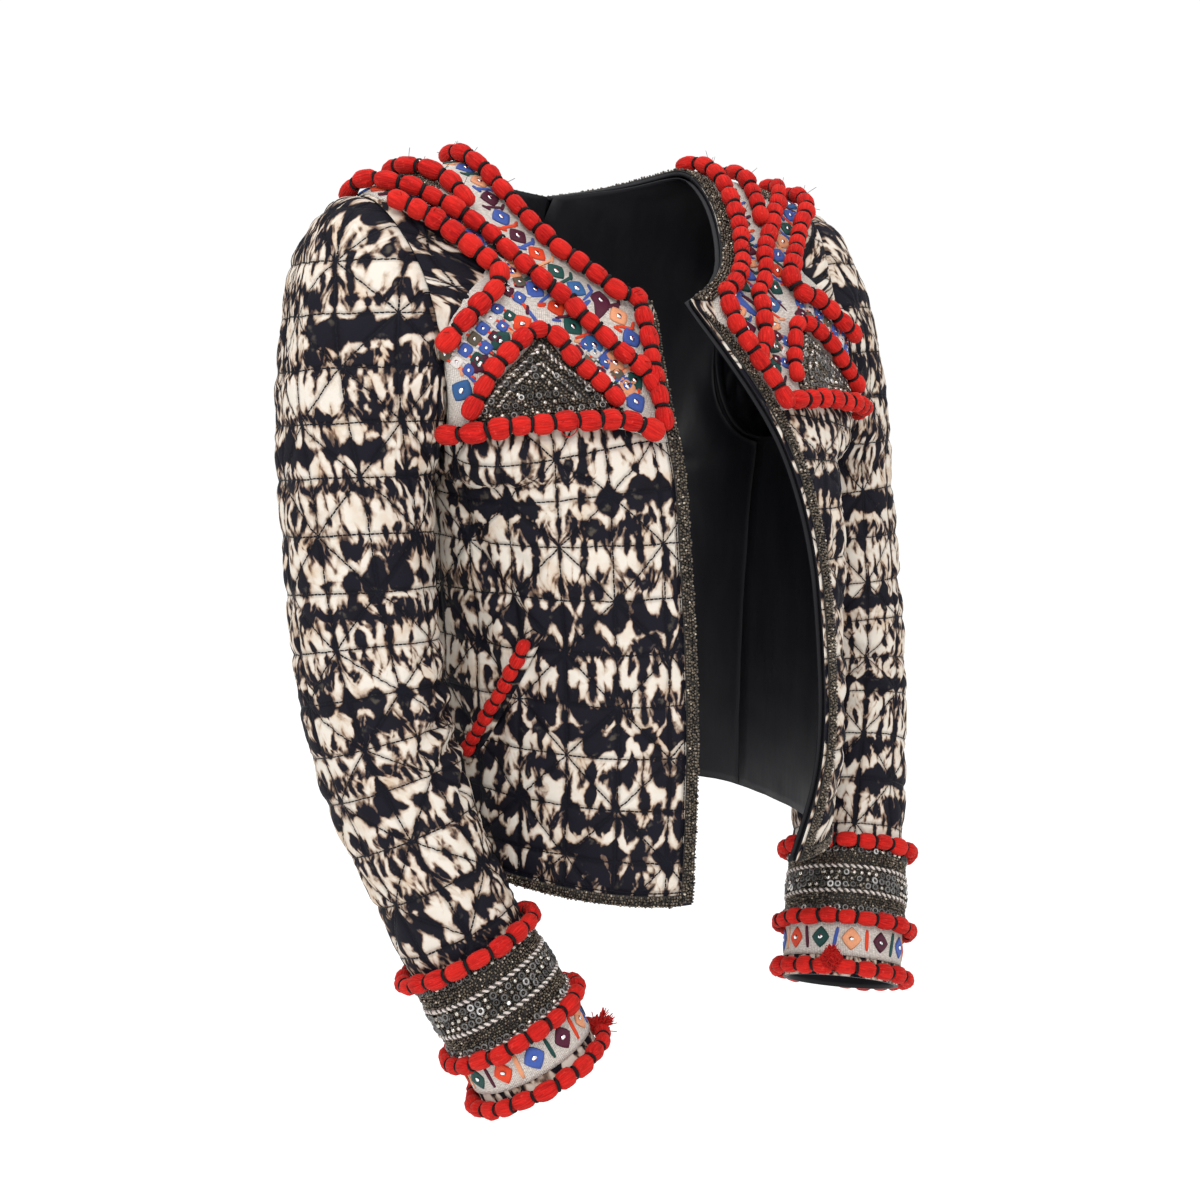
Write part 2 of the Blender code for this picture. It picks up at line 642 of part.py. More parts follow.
def edge_places(side_name, runs, widths):
    places = [inset(side_name, runs, metres) for metres in widths]
    return np.array([p[0] for p in places]), np.array([p[1] for p in places])


def edge_bands(slot):
    """Seed-bead bands along the front edges, the neckline and the hem."""
    neck, hem = [], []
    for side_name in ("right", "left"):
        runs = np.linspace(0.003, NECK_CORNER_RUN - 0.003, 22)
        across, places = edge_places(side_name, runs, EDGE_BAND)
        band(f"bead_edge_{side_name}", [(side_name, across, places)], slot)
        runs = np.concatenate([FRONT_RUNS[FRONT_RUNS > NECK_CORNER_RUN + 0.001], BACK_RUNS[1:5]])
        runs = np.unique(np.concatenate([[NECK_CORNER_RUN + 0.0085], runs, (runs[1:] + runs[:-1]) / 2]))
        neck.append((side_name, *edge_places(side_name, runs, NECK_BAND)))
        start = inset(side_name, np.array([0.006]), EDGE_BAND[1] + 2 * SEAM_GAP)[0][0]
        across = np.concatenate([[start], ACROSS[ACROSS > start + 0.02]])[:, None]
        band(f"bead_hem_{side_name}", [(side_name, across, np.array(EDGE_BAND))], slot)
        hem.append((side_name, ACROSS[:, None], BACK_HEM_RUN - np.array(EDGE_BAND)))
    for name, patches, last in (("bead_neck", neck, (slice(None), -1)), ("bead_hem_back", hem, (0, slice(None)))):
        pairs = []
        for side_name, across, runs in patches:
            pair = [patch(side_name, across, runs, out) for out in (3 * LAYER_GAP + BEAD_WALL, 3 * LAYER_GAP)]
            for grid in pair:
                grid[last + (0,)] = 0.0
            pairs.append(pair)
        wall(name, pairs, slot)


def pocket(side_name, cloth_slot, wool_slot):
    """The slanted welt of a front pocket and its wool row."""
    ends = np.array(POCKET)
    share = np.linspace(0, 1, 7)[:, None]
    line = ends[0] + (ends[1] - ends[0]) * share
    middle = body_point(side_name, line[:, 0], line[:, 1])
    away = body_normal(side_name, line[:, 0], line[:, 1])
    beside = np.cross(np.gradient(middle, axis=0), away)
    beside = beside / np.linalg.norm(beside, axis=1, keepdims=True)
    places = []
    for metres in (-WELT_WIDTH / 2, WELT_WIDTH / 2):
        places.append(np.stack(settle(side_name, middle + beside * metres, line[:, 0], line[:, 1]), -1))
    places = np.array(places)
    heights = (2 * LAYER_GAP + WELT_WALL, 2 * LAYER_GAP)
    grids = [patch(side_name, places[..., 0], places[..., 1], out) for out in heights]
    wall(f"pocket_welt_{side_name}", [grids], cloth_slot)
    row = ends[0] + (ends[1] - ends[0]) * np.linspace(0.04, 0.96, 5)[:, None]
    wool_row("pocket", side_name, row, POCKET_WOOL_RADIUS, 2 * LAYER_GAP + WELT_WALL, wool_slot)


def build():
    for old in list(bpy.data.objects):
        bpy.data.objects.remove(old)
    quilted = material("quilted_cotton", (0.62, 0.57, 0.50), 0.80)
    lining = material("black_lining", (0.02, 0.02, 0.02), 0.50)
    embroidered = material("embroidered_cotton", (0.75, 0.70, 0.66), 0.80)
    beads = material("seed_beads", (0.10, 0.09, 0.08), 0.35)
    wool = material("red_wool", (0.62, 0.03, 0.02), 0.90)
    body_walls("shell", -SHELL_WALL, 0.0, quilted, ACROSS)
    inside = -(SHELL_WALL + SEAM_GAP)
    body_walls("lining", inside - LINING_WALL, inside, lining, ACROSS)
    edge_bands(beads)
    yoke_top = YOKE_GAP + YOKE_WALL + SEAM_GAP
    for side_name in ("right", "left"):
        sleeve(side_name, quilted)
        cuff(side_name, beads, embroidered, wool)
        yoke(side_name, embroidered)
        insert(side_name, beads)
        wool_row("neck", side_name, neck_row_places(side_name), WOOL_RADIUS, yoke_top, wool)
        for name, places in WOOL_ROWS.items():
            wool_row(name, side_name, places, WOOL_RADIUS, yoke_top, wool)
        pocket(side_name, quilted, wool)


build()
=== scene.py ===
import math

import bmesh
import bpy
import numpy as np
from mathutils import Matrix


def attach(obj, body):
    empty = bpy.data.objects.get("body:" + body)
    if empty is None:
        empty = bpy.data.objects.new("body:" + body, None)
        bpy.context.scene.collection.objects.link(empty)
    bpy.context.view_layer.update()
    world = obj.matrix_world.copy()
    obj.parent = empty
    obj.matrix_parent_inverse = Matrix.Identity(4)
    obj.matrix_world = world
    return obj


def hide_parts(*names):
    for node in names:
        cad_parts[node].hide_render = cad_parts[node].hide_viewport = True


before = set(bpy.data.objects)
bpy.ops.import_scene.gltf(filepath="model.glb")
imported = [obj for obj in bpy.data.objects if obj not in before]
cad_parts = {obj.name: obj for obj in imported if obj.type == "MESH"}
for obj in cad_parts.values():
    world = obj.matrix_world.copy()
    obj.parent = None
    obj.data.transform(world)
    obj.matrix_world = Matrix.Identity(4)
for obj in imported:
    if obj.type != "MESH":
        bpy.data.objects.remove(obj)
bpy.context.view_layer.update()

SIDES = ("right", "left")
MIRRORED = {"right": (-1, 1, 1), "left": (1, 1, 1)}

# THE CUT OF THE JACKET
# Place along the arm, sideways, forward and down, and the sleeve's half sizes there
ARM_STATIONS = (
    # x, y, z, half_side, half_front
    (0.2150, -0.0160, -0.240, 0.0500, 0.0560),
    (0.2170, -0.0230, -0.300, 0.0490, 0.0550),
    (0.2180, -0.0320, -0.350, 0.0480, 0.0530),
    (0.2150, -0.0440, -0.400, 0.0475, 0.0505),
    (0.2060, -0.0590, -0.450, 0.0455, 0.0480),
    (0.1920, -0.0760, -0.500, 0.0430, 0.0460),
    (0.1770, -0.0920, -0.545, 0.0425, 0.0450),
    (0.1560, -0.1120, -0.595, 0.0435, 0.0460),
    (0.1410, -0.1250, -0.632, 0.0440, 0.0465),
)

# The armhole seam: angle 0 at the shoulder point, 90 in front, 180 under the arm, 270 behind
ARMHOLE = (
    # angle, x, y, z
    (0, 0.1950, 0.004, -0.037),
    (30, 0.1900, -0.030, -0.054),
    (60, 0.1820, -0.054, -0.090),
    (90, 0.1800, -0.070, -0.136),
    (120, 0.1780, -0.072, -0.178),
    (150, 0.1700, -0.046, -0.209),
    (180, 0.1610, -0.002, -0.219),
    (210, 0.1610, 0.034, -0.208),
    (240, 0.1640, 0.057, -0.178),
    (270, 0.1690, 0.064, -0.138),
    (300, 0.1780, 0.056, -0.094),
    (330, 0.1900, 0.036, -0.056),
)

# The side seam, hem to underarm
SIDE_SEAM = (
    # x, y, z
    (0.150, 0.003, -0.503),
    (0.149, 0.002, -0.437),
    (0.149, 0.000, -0.370),
    (0.152, -0.001, -0.307),
    (0.156, -0.002, -0.255),
    (0.161, -0.002, -0.219),
)

# The two front edges, hem to neck corner
FRONT_EDGES = {
    "right": (
        # x, y, z
        (0.046, -0.171, -0.517),
        (0.041, -0.169, -0.445),
        (0.038, -0.165, -0.375),
        (0.038, -0.160, -0.310),
        (0.037, -0.153, -0.255),
        (0.036, -0.147, -0.222),
        (0.035, -0.136, -0.191),
        (0.031, -0.117, -0.150),
        (0.020, -0.092, -0.110),
    ),
    "left": (
        (0.046, -0.175, -0.503),
        (0.072, -0.170, -0.450),
        (0.079, -0.168, -0.397),
        (0.078, -0.165, -0.345),
        (0.075, -0.160, -0.292),
        (0.069, -0.152, -0.248),
        (0.058, -0.140, -0.204),
        (0.036, -0.120, -0.155),
        (0.013, -0.090, -0.106),
    ),
}

# The neckline, front corner over the shoulder to the middle of the back
NECKLINE = (
    # place, x, y, z
    (1.00, 0.020, -0.092, -0.110),
    (1.25, 0.050, -0.074, -0.090),
    (1.50, 0.074, -0.050, -0.066),
    (1.75, 0.088, -0.022, -0.037),
    (2.00, 0.094, 0.010, -0.014),
    (2.33, 0.086, 0.040, -0.012),
    (2.66, 0.052, 0.062, -0.022),
    (3.00, 0.000, 0.070, -0.030),
)

# The middle of the back, neck to hem
CENTRE_BACK = (
    # y, z
    (0.070, -0.030),
    (0.096, -0.080),
    (0.110, -0.140),
    (0.110, -0.200),
    (0.100, -0.260),
    (0.090, -0.320),
    (0.088, -0.380),
    (0.094, -0.440),
    (0.102, -0.500),
)

# Rows across the body, front hem over the shoulder to back hem
BODY_ROWS = (
    # run, centre, side, roundness, lift, rise, fullness
    (0.000, 0.000, 0.000, 1.00, 0.000, 0.000, 0.58),
    (0.070, 0.177, 0.231, 1.00, 0.000, 0.000, 0.58),
    (0.140, 0.349, 0.465, 1.00, 0.000, 0.000, 0.60),
    (0.204, 0.509, 0.685, 1.00, 0.000, 0.000, 0.64),
    (0.257, 0.644, 0.867, 1.00, 0.000, 0.006, 0.70),
    (0.291, 0.725, 1.000, 1.00, 0.000, 0.020, 0.72),
    (0.325, 0.801, 1.250, 1.00, 0.000, 0.026, 0.66),
    (0.368, 0.902, 1.417, 0.90, 0.000, 0.012, 0.58),
    (0.412, 1.000, 1.583, 0.75, 0.002, 0.000, 0.58),
    (0.452, 1.450, 1.722, 0.50, 0.004, 0.000, 0.58),
    (0.488, 1.780, 1.861, 0.25, 0.005, 0.000, 0.58),
    (0.520, 2.000, 2.000, 0.10, 0.005, 0.000, 0.58),
    (0.552, 2.300, 2.140, 0.20, 0.005, 0.000, 0.58),
    (0.585, 2.650, 2.280, 0.40, 0.004, 0.000, 0.58),
    (0.615, 3.000, 2.400, 0.60, 0.003, 0.000, 0.62),
    (0.672, 3.180, 2.560, 0.85, 0.002, 0.008, 0.62),
    (0.730, 3.350, 2.740, 1.00, 0.000, 0.022, 0.62),
    (0.788, 3.470, 3.000, 1.00, 0.000, 0.030, 0.62),
    (0.833, 3.550, 3.133, 1.00, 0.000, 0.014, 0.62),
    (0.885, 3.640, 3.315, 1.00, 0.000, 0.004, 0.62),
    (0.948, 3.755, 3.535, 1.00, 0.000, 0.000, 0.58),
    (1.015, 3.878, 3.769, 1.00, 0.000, 0.000, 0.58),
    (1.082, 4.000, 4.000, 1.00, 0.000, 0.000, 0.58),
)
SHOULDER_RUN = 0.520
NECK_CORNER_RUN = 0.412
BACK_NECK_RUN = 0.615
BACK_HEM_RUN = 1.082

# The yoke's outer edge, from its lower corner up round the notch and over the shoulder
YOKE_OUTER_EDGE = (
    # across, run
    (0.975, 0.320),
    (0.975, 0.350),
    (0.975, 0.380),
    (0.900, 0.395),
    (0.700, 0.414),
    (0.560, 0.427),
    (0.535, 0.436),
    (0.565, 0.447),
    (0.730, 0.470),
    (0.880, 0.487),
    (0.972, 0.502),
    (0.975, 0.530),
    (0.975, 0.552),
)

# Middle lines of the wool rows on either yoke
WOOL_ROWS = {
    # across, run
    "right": {
        "middle": ((0.955, 0.545), (0.950, 0.526), (0.885, 0.514), (0.80, 0.501), (0.64, 0.483), (0.475, 0.464),
                   (0.395, 0.445), (0.362, 0.426), (0.296, 0.408), (0.195, 0.395), (0.133, 0.376), (0.083, 0.356),
                   (0.060, 0.344)),
        "short": ((0.60, 0.545), (0.590, 0.522), (0.510, 0.506), (0.445, 0.491), (0.425, 0.473)),
        "outer": ((0.965, 0.493), (0.854, 0.479), (0.733, 0.467), (0.642, 0.455), (0.575, 0.442), (0.540, 0.434),
                  (0.571, 0.424), (0.662, 0.414), (0.758, 0.406), (0.858, 0.398), (0.955, 0.389)),
        "base": ((0.955, 0.332), (0.842, 0.336), (0.717, 0.338), (0.512, 0.338), (0.321, 0.335), (0.175, 0.330),
                 (0.115, 0.325), (0.075, 0.318)),
        "peak": ((0.800, 0.345), (0.750, 0.356), (0.700, 0.368), (0.646, 0.380), (0.588, 0.389), (0.529, 0.396),
                 (0.471, 0.400), (0.414, 0.400), (0.374, 0.395), (0.340, 0.385), (0.300, 0.372), (0.255, 0.359),
                 (0.212, 0.349), (0.176, 0.340)),
    },
    "left": {
        "middle": ((0.76, 0.545), (0.73, 0.520), (0.58, 0.494), (0.42, 0.474), (0.325, 0.460), (0.258, 0.450),
                   (0.238, 0.439), (0.250, 0.424), (0.235, 0.411), (0.178, 0.401), (0.132, 0.388), (0.092, 0.369),
                   (0.070, 0.356)),
        "short": ((0.42, 0.548), (0.385, 0.520), (0.33, 0.490), (0.272, 0.466)),
        "outer": ((0.95, 0.545), (0.93, 0.520), (0.83, 0.490), (0.65, 0.470), (0.55, 0.457), (0.475, 0.447),
                  (0.415, 0.436), (0.400, 0.427), (0.438, 0.418), (0.542, 0.411), (0.64, 0.403), (0.76, 0.395),
                  (0.88, 0.389)),
        "base": ((0.071, 0.329), (0.150, 0.332), (0.229, 0.334), (0.321, 0.336), (0.408, 0.337), (0.60, 0.338),
                 (0.80, 0.337), (0.94, 0.333)),
        "peak": ((0.163, 0.344), (0.204, 0.356), (0.250, 0.374), (0.278, 0.389), (0.310, 0.397), (0.358, 0.401),
                 (0.408, 0.399), (0.462, 0.393), (0.504, 0.386), (0.560, 0.374), (0.620, 0.360), (0.690, 0.348)),
    },
}
WOOL_RADIUS = {"neck": 0.0059, "middle": 0.0058, "short": 0.0059, "outer": 0.0064, "base": 0.0064, "peak": 0.0057}
NECK_ROW_INSET = {"right": 0.0150, "left": 0.0128}
YOKE_INSET = 0.0100
YOKE_FOOT_RUN = 0.320
YOKE_END_RUN = 0.552
YOKE_TOP = 0.0034

# The beaded insert under the peak row: corners at its foot and top, across and run
INSERT = {
    "right": ((0.800, 0.343), (0.440, 0.4025), (0.162, 0.337)),
    "left": ((0.192, 0.341), (0.375, 0.4010), (0.665, 0.344)),
}

EDGE_BAND = {"right": (0.0004, 0.0098), "left": (0.0026, 0.0106)}
NECK_BAND = (0.0001, 0.0100)
HEM_BAND = (0.0004, 0.0078)
POCKET = ((0.585, 0.186), (0.845, 0.086))
WELT_WIDTH = 0.013
POCKET_WOOL_RADIUS = 0.0045

# Bands and wool rings of the cuff, metres up from the sleeve's end
CUFF_BEADS = (0.0430, 0.1045)
CUFF_EMBROIDERY = (0.0150, 0.0410)
CUFF_RINGS = {"upper": 0.1030, "middle": 0.0420, "lower": 0.0060}
CUFF_WOOL_RADIUS = 0.0056
CUFF_BEAD_ROWS = ((0.0990, 0.0836, 9), (0.0792, 0.0642, 8), (0.0600, 0.0482, 7))  # from, to, rows
CUFF_CORDS = (0.0815, 0.0620, 0.0462)
CUFF_TRINKETS = (
    # metres up, pitch, shift
    (0.0958, 0.0062, 0.5), (0.0765, 0.0058, 0.5), (0.0716, 0.0060, 0.1), (0.0668, 0.0058, 0.6), (0.0490, 0.0058, 0.5),
)
ARMHOLE_GAP = 0.0007
HEAD_SPRING = 0.95
SLEEVE_LEAVES = {"top": (1.0, 0.0, -0.10), "side": (0.60, 0.30, -0.80), "under": (0.10, 0.0, -1.0)}

# QUILTING AND PRINT
QUILT = 0.036  # side of a quilted square
PUFF = 0.0023  # height of the wadding between the stitched lines
SHELL_THICKNESS = 0.0030
LINING_THICKNESS = 0.0009
LINING_BEYOND = {"right": 0.0012, "left": 0.0032}  # metres the lining shows past the front edge
# Squares round a sleeve: metres to the first line, pitch, and drift for each square down
SLEEVE_COLUMNS = {"right": (0.0185, 0.0355, 0.00303), "left": (0.0350, 0.0300, 0.0)}
# Squares down a sleeve's arm: share of the way, count
SLEEVE_ROWS = ((0.0, 5.44), (0.155, 7.0), (0.25, 8.0), (0.33, 9.0), (0.41, 10.0), (0.48, 11.0), (0.565, 12.0),
               (0.65, 13.0), (1.0, 17.1))
SLEEVE_ROW_LENGTH = 0.0353

# Yellow stain on the left sleeve, millimetres across and up the cloth
STAIN = (71.9, -293.0)
# Where wool has come loose: angle round the sleeve and metres up from its end
FRAYED = {"left": (140, 0.011), "right": (149, 0.009)}
LOOSE_LOOP = (0.37, 0.333)  # across and run

# Middle lines of the embroidered bands
EMBROIDERY = {
    # across, run
    "right": {
        "neck": ((0.165, 0.545), (0.175, 0.510), (0.185, 0.491), (0.220, 0.475), (0.222, 0.460), (0.215, 0.440),
                 (0.226, 0.426), (0.182, 0.415), (0.122, 0.405), (0.088, 0.393)),
        "shoulder": ((0.885, 0.543), (0.88, 0.522), (0.830, 0.500), (0.625, 0.478), (0.530, 0.464), (0.450, 0.452),
                     (0.432, 0.438), (0.404, 0.425), (0.365, 0.413), (0.296, 0.403), (0.229, 0.393), (0.142, 0.366),
                     (0.092, 0.347)),
        "chest": ((0.455, 0.4075), (0.567, 0.401), (0.675, 0.389), (0.796, 0.372), (0.905, 0.352)),
        "corner": ((0.152, 0.357), (0.110, 0.337)),
    },
    "left": {
        "neck": ((0.20, 0.545), (0.200, 0.510), (0.190, 0.484), (0.172, 0.470), (0.172, 0.455), (0.166, 0.441),
                 (0.170, 0.428), (0.160, 0.416), (0.136, 0.405), (0.110, 0.392)),
        "shoulder": ((0.86, 0.545), (0.83, 0.515), (0.72, 0.492), (0.590, 0.473), (0.442, 0.456), (0.352, 0.441),
                     (0.345, 0.425), (0.325, 0.412), (0.280, 0.405), (0.221, 0.396), (0.171, 0.376), (0.133, 0.356),
                     (0.113, 0.343)),
        "chest": ((0.415, 0.406), (0.504, 0.401), (0.580, 0.392), (0.690, 0.376), (0.800, 0.362)),
    },
}
SQUARES = {
    "right": (((0.585, 0.4125), (0.645, 0.407), (0.717, 0.400), (0.800, 0.391), (0.900, 0.379)),
              ((0.305, 0.397), (0.250, 0.383), (0.195, 0.364), (0.145, 0.348)),
              ((0.520, 0.4480), (0.482, 0.436), (0.478, 0.424), (0.530, 0.4160))),
    "left": (((0.454, 0.411), (0.525, 0.4085), (0.610, 0.402), (0.70, 0.392), (0.80, 0.380)),
             ((0.268, 0.397), (0.236, 0.388), (0.205, 0.372), (0.175, 0.358))),
}
THREADS = {
    "blue": (0.055, 0.115, 0.42),
    "sea": (0.035, 0.13, 0.33),
    "green": (0.010, 0.070, 0.060),
    "burgundy": (0.085, 0.008, 0.030),
    "orange": (0.80, 0.060, 0.014),
    "peach": (0.86, 0.38, 0.20),
    "white": (0.80, 0.76, 0.72),
    "olive": (0.13, 0.11, 0.075),
}
DIAMOND_ORDER = {
    "neck": ("green", "blue", "peach", "burgundy", "blue", "burgundy", "orange", "green", "sea", "burgundy", "peach",
             "blue"),
    "shoulder": ("green", "orange", "blue", "burgundy", "sea", "blue", "green", "peach", "blue", "orange", "green",
                 "sea", "peach", "green"),
    "chest": ("orange", "green", "burgundy", "sea", "peach"),
    "corner": ("peach", "blue"),
    "cuff": ("green", "orange", "blue", "burgundy", "peach"),
}
BAR_ORDER = ("blue", "peach", "green", "blue", "burgundy", "orange")
SQUARE_ORDER = (
    ("burgundy", "olive", "burgundy", "white"),
    ("blue", "white", "blue", "olive"),
    ("green", "blue", "burgundy", "blue"),
)
DIAMOND_HEIGHT = 0.0009
BAR_HEIGHT = 0.00055


def natural_spline(knots, values):
    """A natural cubic spline through rows of values, as a function of arrays."""
    x = np.asarray(knots, float)
    y = np.asarray(values, float)
    count = len(x)
    step = np.diff(x)
    matrix = np.zeros((count, count))
    matrix[0, 0] = matrix[-1, -1] = 1.0
    right = np.zeros_like(y)
    for i in range(1, count - 1):
        matrix[i, i - 1 : i + 2] = step[i - 1], 2 * (step[i - 1] + step[i]), step[i]
        right[i] = 6 * ((y[i + 1] - y[i]) / step[i] - (y[i] - y[i - 1]) / step[i - 1])
    bend = np.linalg.solve(matrix, right)

    def at(q):
        q = np.asarray(q, float)
        i = np.clip(np.searchsorted(x, q, side="right") - 1, 0, count - 2)
        wide = step[i][..., None]
        after = q[..., None] - x[i][..., None]
        before = wide - after
        ends = (y[i] / wide - bend[i] * wide / 6) * before
        ends = ends + (y[i + 1] / wide - bend[i + 1] * wide / 6) * after
        return ends + (bend[i] * before**3 + bend[i + 1] * after**3) / (6 * wide)

    return at


def distances(points):
    """Metres along the first axis of a line or grid of points."""
    steps = np.linalg.norm(np.diff(points, axis=0), axis=-1)
    return np.concatenate([np.zeros((1,) + steps.shape[1:]), np.cumsum(steps, 0)])


def along(rows):
    """Share of the way along rows of points, by distance."""
    run = distances(np.asarray(rows, float))
    return run / run[-1]


def between(at, length, rows):
    """Rows of vectors read at distances along a line."""
    return np.stack([np.interp(at, length, rows[:, k]) for k in range(3)], -1)


def unit(vectors):
    return vectors / np.linalg.norm(vectors, axis=-1, keepdims=True)


def armhole_curve():
    rows = np.array(ARMHOLE, float)
    angles = np.concatenate([rows[-4:, 0] - 360, rows[:, 0], rows[:4, 0] + 360])
    points = np.concatenate([rows[-4:, 1:], rows[:, 1:], rows[:4, 1:]])
    return natural_spline(angles, points)


ARMHOLE_AT = armhole_curve()
SIDE_SEAM_AT = natural_spline(
    [(z - SIDE_SEAM[0][2]) / (SIDE_SEAM[-1][2] - SIDE_SEAM[0][2]) for _, _, z in SIDE_SEAM], SIDE_SEAM
)
ROWS_AT = natural_spline([row[0] for row in BODY_ROWS], [row[1:] for row in BODY_ROWS])


def side_line(place):
    """Points of the side seam and armhole, hem to hem."""
    place = np.asarray(place, float)[..., None]
    seam = SIDE_SEAM_AT(np.clip(np.minimum(place, 4 - place), 0, 1)[..., 0])
    angle = np.where(place < 2, 180 * (2 - place), 360 - 180 * (place - 2))[..., 0]
    hole = ARMHOLE_AT(np.clip(angle, 0, 360))
    return np.where((place > 1) & (place < 3), hole, seam)


def centre_line(place, side):
    """Points of the front edge, neckline and centre back, hem to hem."""
    edge_rows = np.array(FRONT_EDGES[side], float)
    low, high = edge_rows[0, 2], edge_rows[-1, 2]
    edge_at = natural_spline((edge_rows[:, 2] - low) / (high - low), edge_rows)
    neck_rows = np.array(NECKLINE, float)
    neck_rows[0, 1:] = edge_rows[-1]
    neck_at = natural_spline(neck_rows[:, 0], neck_rows[:, 1:])
    back = np.array([(0.0, y, z) for y, z in CENTRE_BACK])
    back_at = natural_spline(3 + along(back), back)
    place = np.asarray(place, float)
    shown = place[..., None]
    points = np.where(shown < 1, edge_at(np.clip(place, 0, 1)), neck_at(np.clip(place, 1, 3)))
    return np.where(shown > 3, back_at(np.clip(place, 3, 4)), points)


def body_point(side, across, run):
    """The outer surface of half the body. across is 0 at the centre line and 1 at the side line."""
    across, run = np.broadcast_arrays(np.asarray(across, float), np.asarray(run, float))
    row = ROWS_AT(run)
    start = centre_line(np.clip(row[..., 0], 0, 4), side)
    end = side_line(np.clip(row[..., 1], 0, 4))
    round_share, lift, rise, full = (row[..., i : i + 1] for i in range(2, 6))
    reach = end - start
    straight = reach / 3 * (1 - round_share)
    sideways = reach * (1, 0, 0) * full + reach * (0, 0, 1 / 3)
    backward = reach * (0, 1, 0) * full + reach * (0, 0, 1 / 3)
    up = lift * (0.0, 0.0, 1.0)
    climb = rise * (0.0, 0.0, 1.0)
    first = start + straight + sideways * round_share + up
    second = end - straight - backward * round_share + up - climb
    s = across[..., None]
    point = (1 - s) ** 3 * start + 3 * (1 - s) ** 2 * s * first + 3 * (1 - s) * s**2 * second + s**3 * end
    return point * MIRRORED[side]


def body_normal(side, across, run):
    """The unit normal of the body surface, pointing out."""
    step = 1e-3
    across, run = np.broadcast_arrays(np.asarray(across, float), np.asarray(run, float))
    a0, a1 = np.clip(across - step, 0, 1), np.clip(across + step, 0, 1)
    r0 = np.clip(run - step, 0, BACK_HEM_RUN - step)
    r1 = np.clip(run + step, step, BACK_HEM_RUN)
    sideways = body_point(side, a1, run) - body_point(side, a0, run)
    upward = body_point(side, across, r1) - body_point(side, across, r0)
    normal = np.cross(sideways, upward) if side == "left" else np.cross(upward, sideways)
    middle = (across < 1e-9) & (run > BACK_NECK_RUN - 1e-9)
    normal[..., 0] = np.where(middle, 0.0, normal[..., 0])
    return unit(normal)


def patch(side, across, run, out):
    """Points of the body surface, moved out along its normal."""
    out = np.asarray(out, float)[..., None]
    return body_point(side, across, run) + body_normal(side, across, run) * out


def arm_frame(z):
    """Centre, sideways axis, forward axis, half sizes and direction of the sleeve at heights z."""
    rows = np.array(ARM_STATIONS, float)
    stations = natural_spline(-rows[:, 2], rows)
    place = stations(-z)
    centre = place[..., :3]
    ahead = unit(stations(-z + 0.002)[..., :3] - stations(-z - 0.002)[..., :3])
    sideways = unit(np.array([1.0, 0, 0]) - ahead * ahead[..., :1])
    forward = np.cross(sideways, ahead)
    return centre, sideways, -forward, place[..., 3:4], place[..., 4:5], ahead


def sleeve_point(side, angle, down):
    """The outer surface of a sleeve. down runs 0 to 1 over the sleeve head, then 1 to 2 along the arm."""
    angle, down = np.broadcast_arrays(np.asarray(angle, float), np.asarray(down, float))
    top_z, end_z = ARM_STATIONS[0][2], ARM_STATIONS[-1][2]
    z = top_z + (end_z - top_z) * np.clip(down - 1, 0, 1)
    centre, sideways, forward, half_side, half_front, ahead = arm_frame(z)
    turn = np.radians(angle)[..., None]
    ring = centre + sideways * half_side * np.cos(turn) + forward * half_front * np.sin(turn)
    start = ARMHOLE_AT(np.mod(angle, 360)) + (ARMHOLE_GAP, 0.0, 0.0)
    cosine, sine = np.cos(turn), np.sin(turn)
    top, flank, under = (np.array(SLEEVE_LEAVES[k]) for k in ("top", "side", "under"))
    flank = flank * np.concatenate([np.ones_like(sine), -np.sign(sine) * np.abs(sine), np.ones_like(sine)], -1)
    leave = unit(top * ((1 + cosine) / 2) ** 2 + under * ((1 - cosine) / 2) ** 2 + flank * sine**2 / 2)
    span = np.linalg.norm(ring - start, axis=-1, keepdims=True)
    t = np.clip(down, 0, 1)[..., None]
    head = (2 * t**3 - 3 * t**2 + 1) * start + (t**3 - 2 * t**2 + t) * leave * span * HEAD_SPRING
    head = head + (3 * t**2 - 2 * t**3) * ring + (t**3 - t**2) * ahead * span * HEAD_SPRING
    point = np.where(down[..., None] < 1, head, ring)
    return point * MIRRORED[side]


def sleeve_normal(side, angle, down):
    step = 1e-3
    around = sleeve_point(side, angle + 0.5, down) - sleeve_point(side, angle - 0.5, down)
    low, high = np.maximum(down - step, 0), np.minimum(down + step, 2)
    along_it = sleeve_point(side, angle, high) - sleeve_point(side, angle, low)
    normal = np.cross(along_it, around) if side == "right" else np.cross(around, along_it)
    return unit(normal)


def settle(side, points, across, run):
    """The places on the body surface nearest to points, from a first guess."""
    step = 1e-4
    for _ in range(6):
        here = body_point(side, across, run)
        sideways = (body_point(side, across + step, run) - here) / step
        upward = (body_point(side, across, run + step) - here) / step
        miss = points - here
        aa = (sideways**2).sum(-1)
        bb = (upward**2).sum(-1)
        ab = (sideways * upward).sum(-1)
        am, bm = (sideways * miss).sum(-1), (upward * miss).sum(-1)
        spread = aa * bb - ab**2
        across = np.clip(across + (am * bb - bm * ab) / spread, 0, 1)
        run = np.clip(run + (bm * aa - am * ab) / spread, 0.0002, BACK_HEM_RUN - 0.0002)
    return across, run


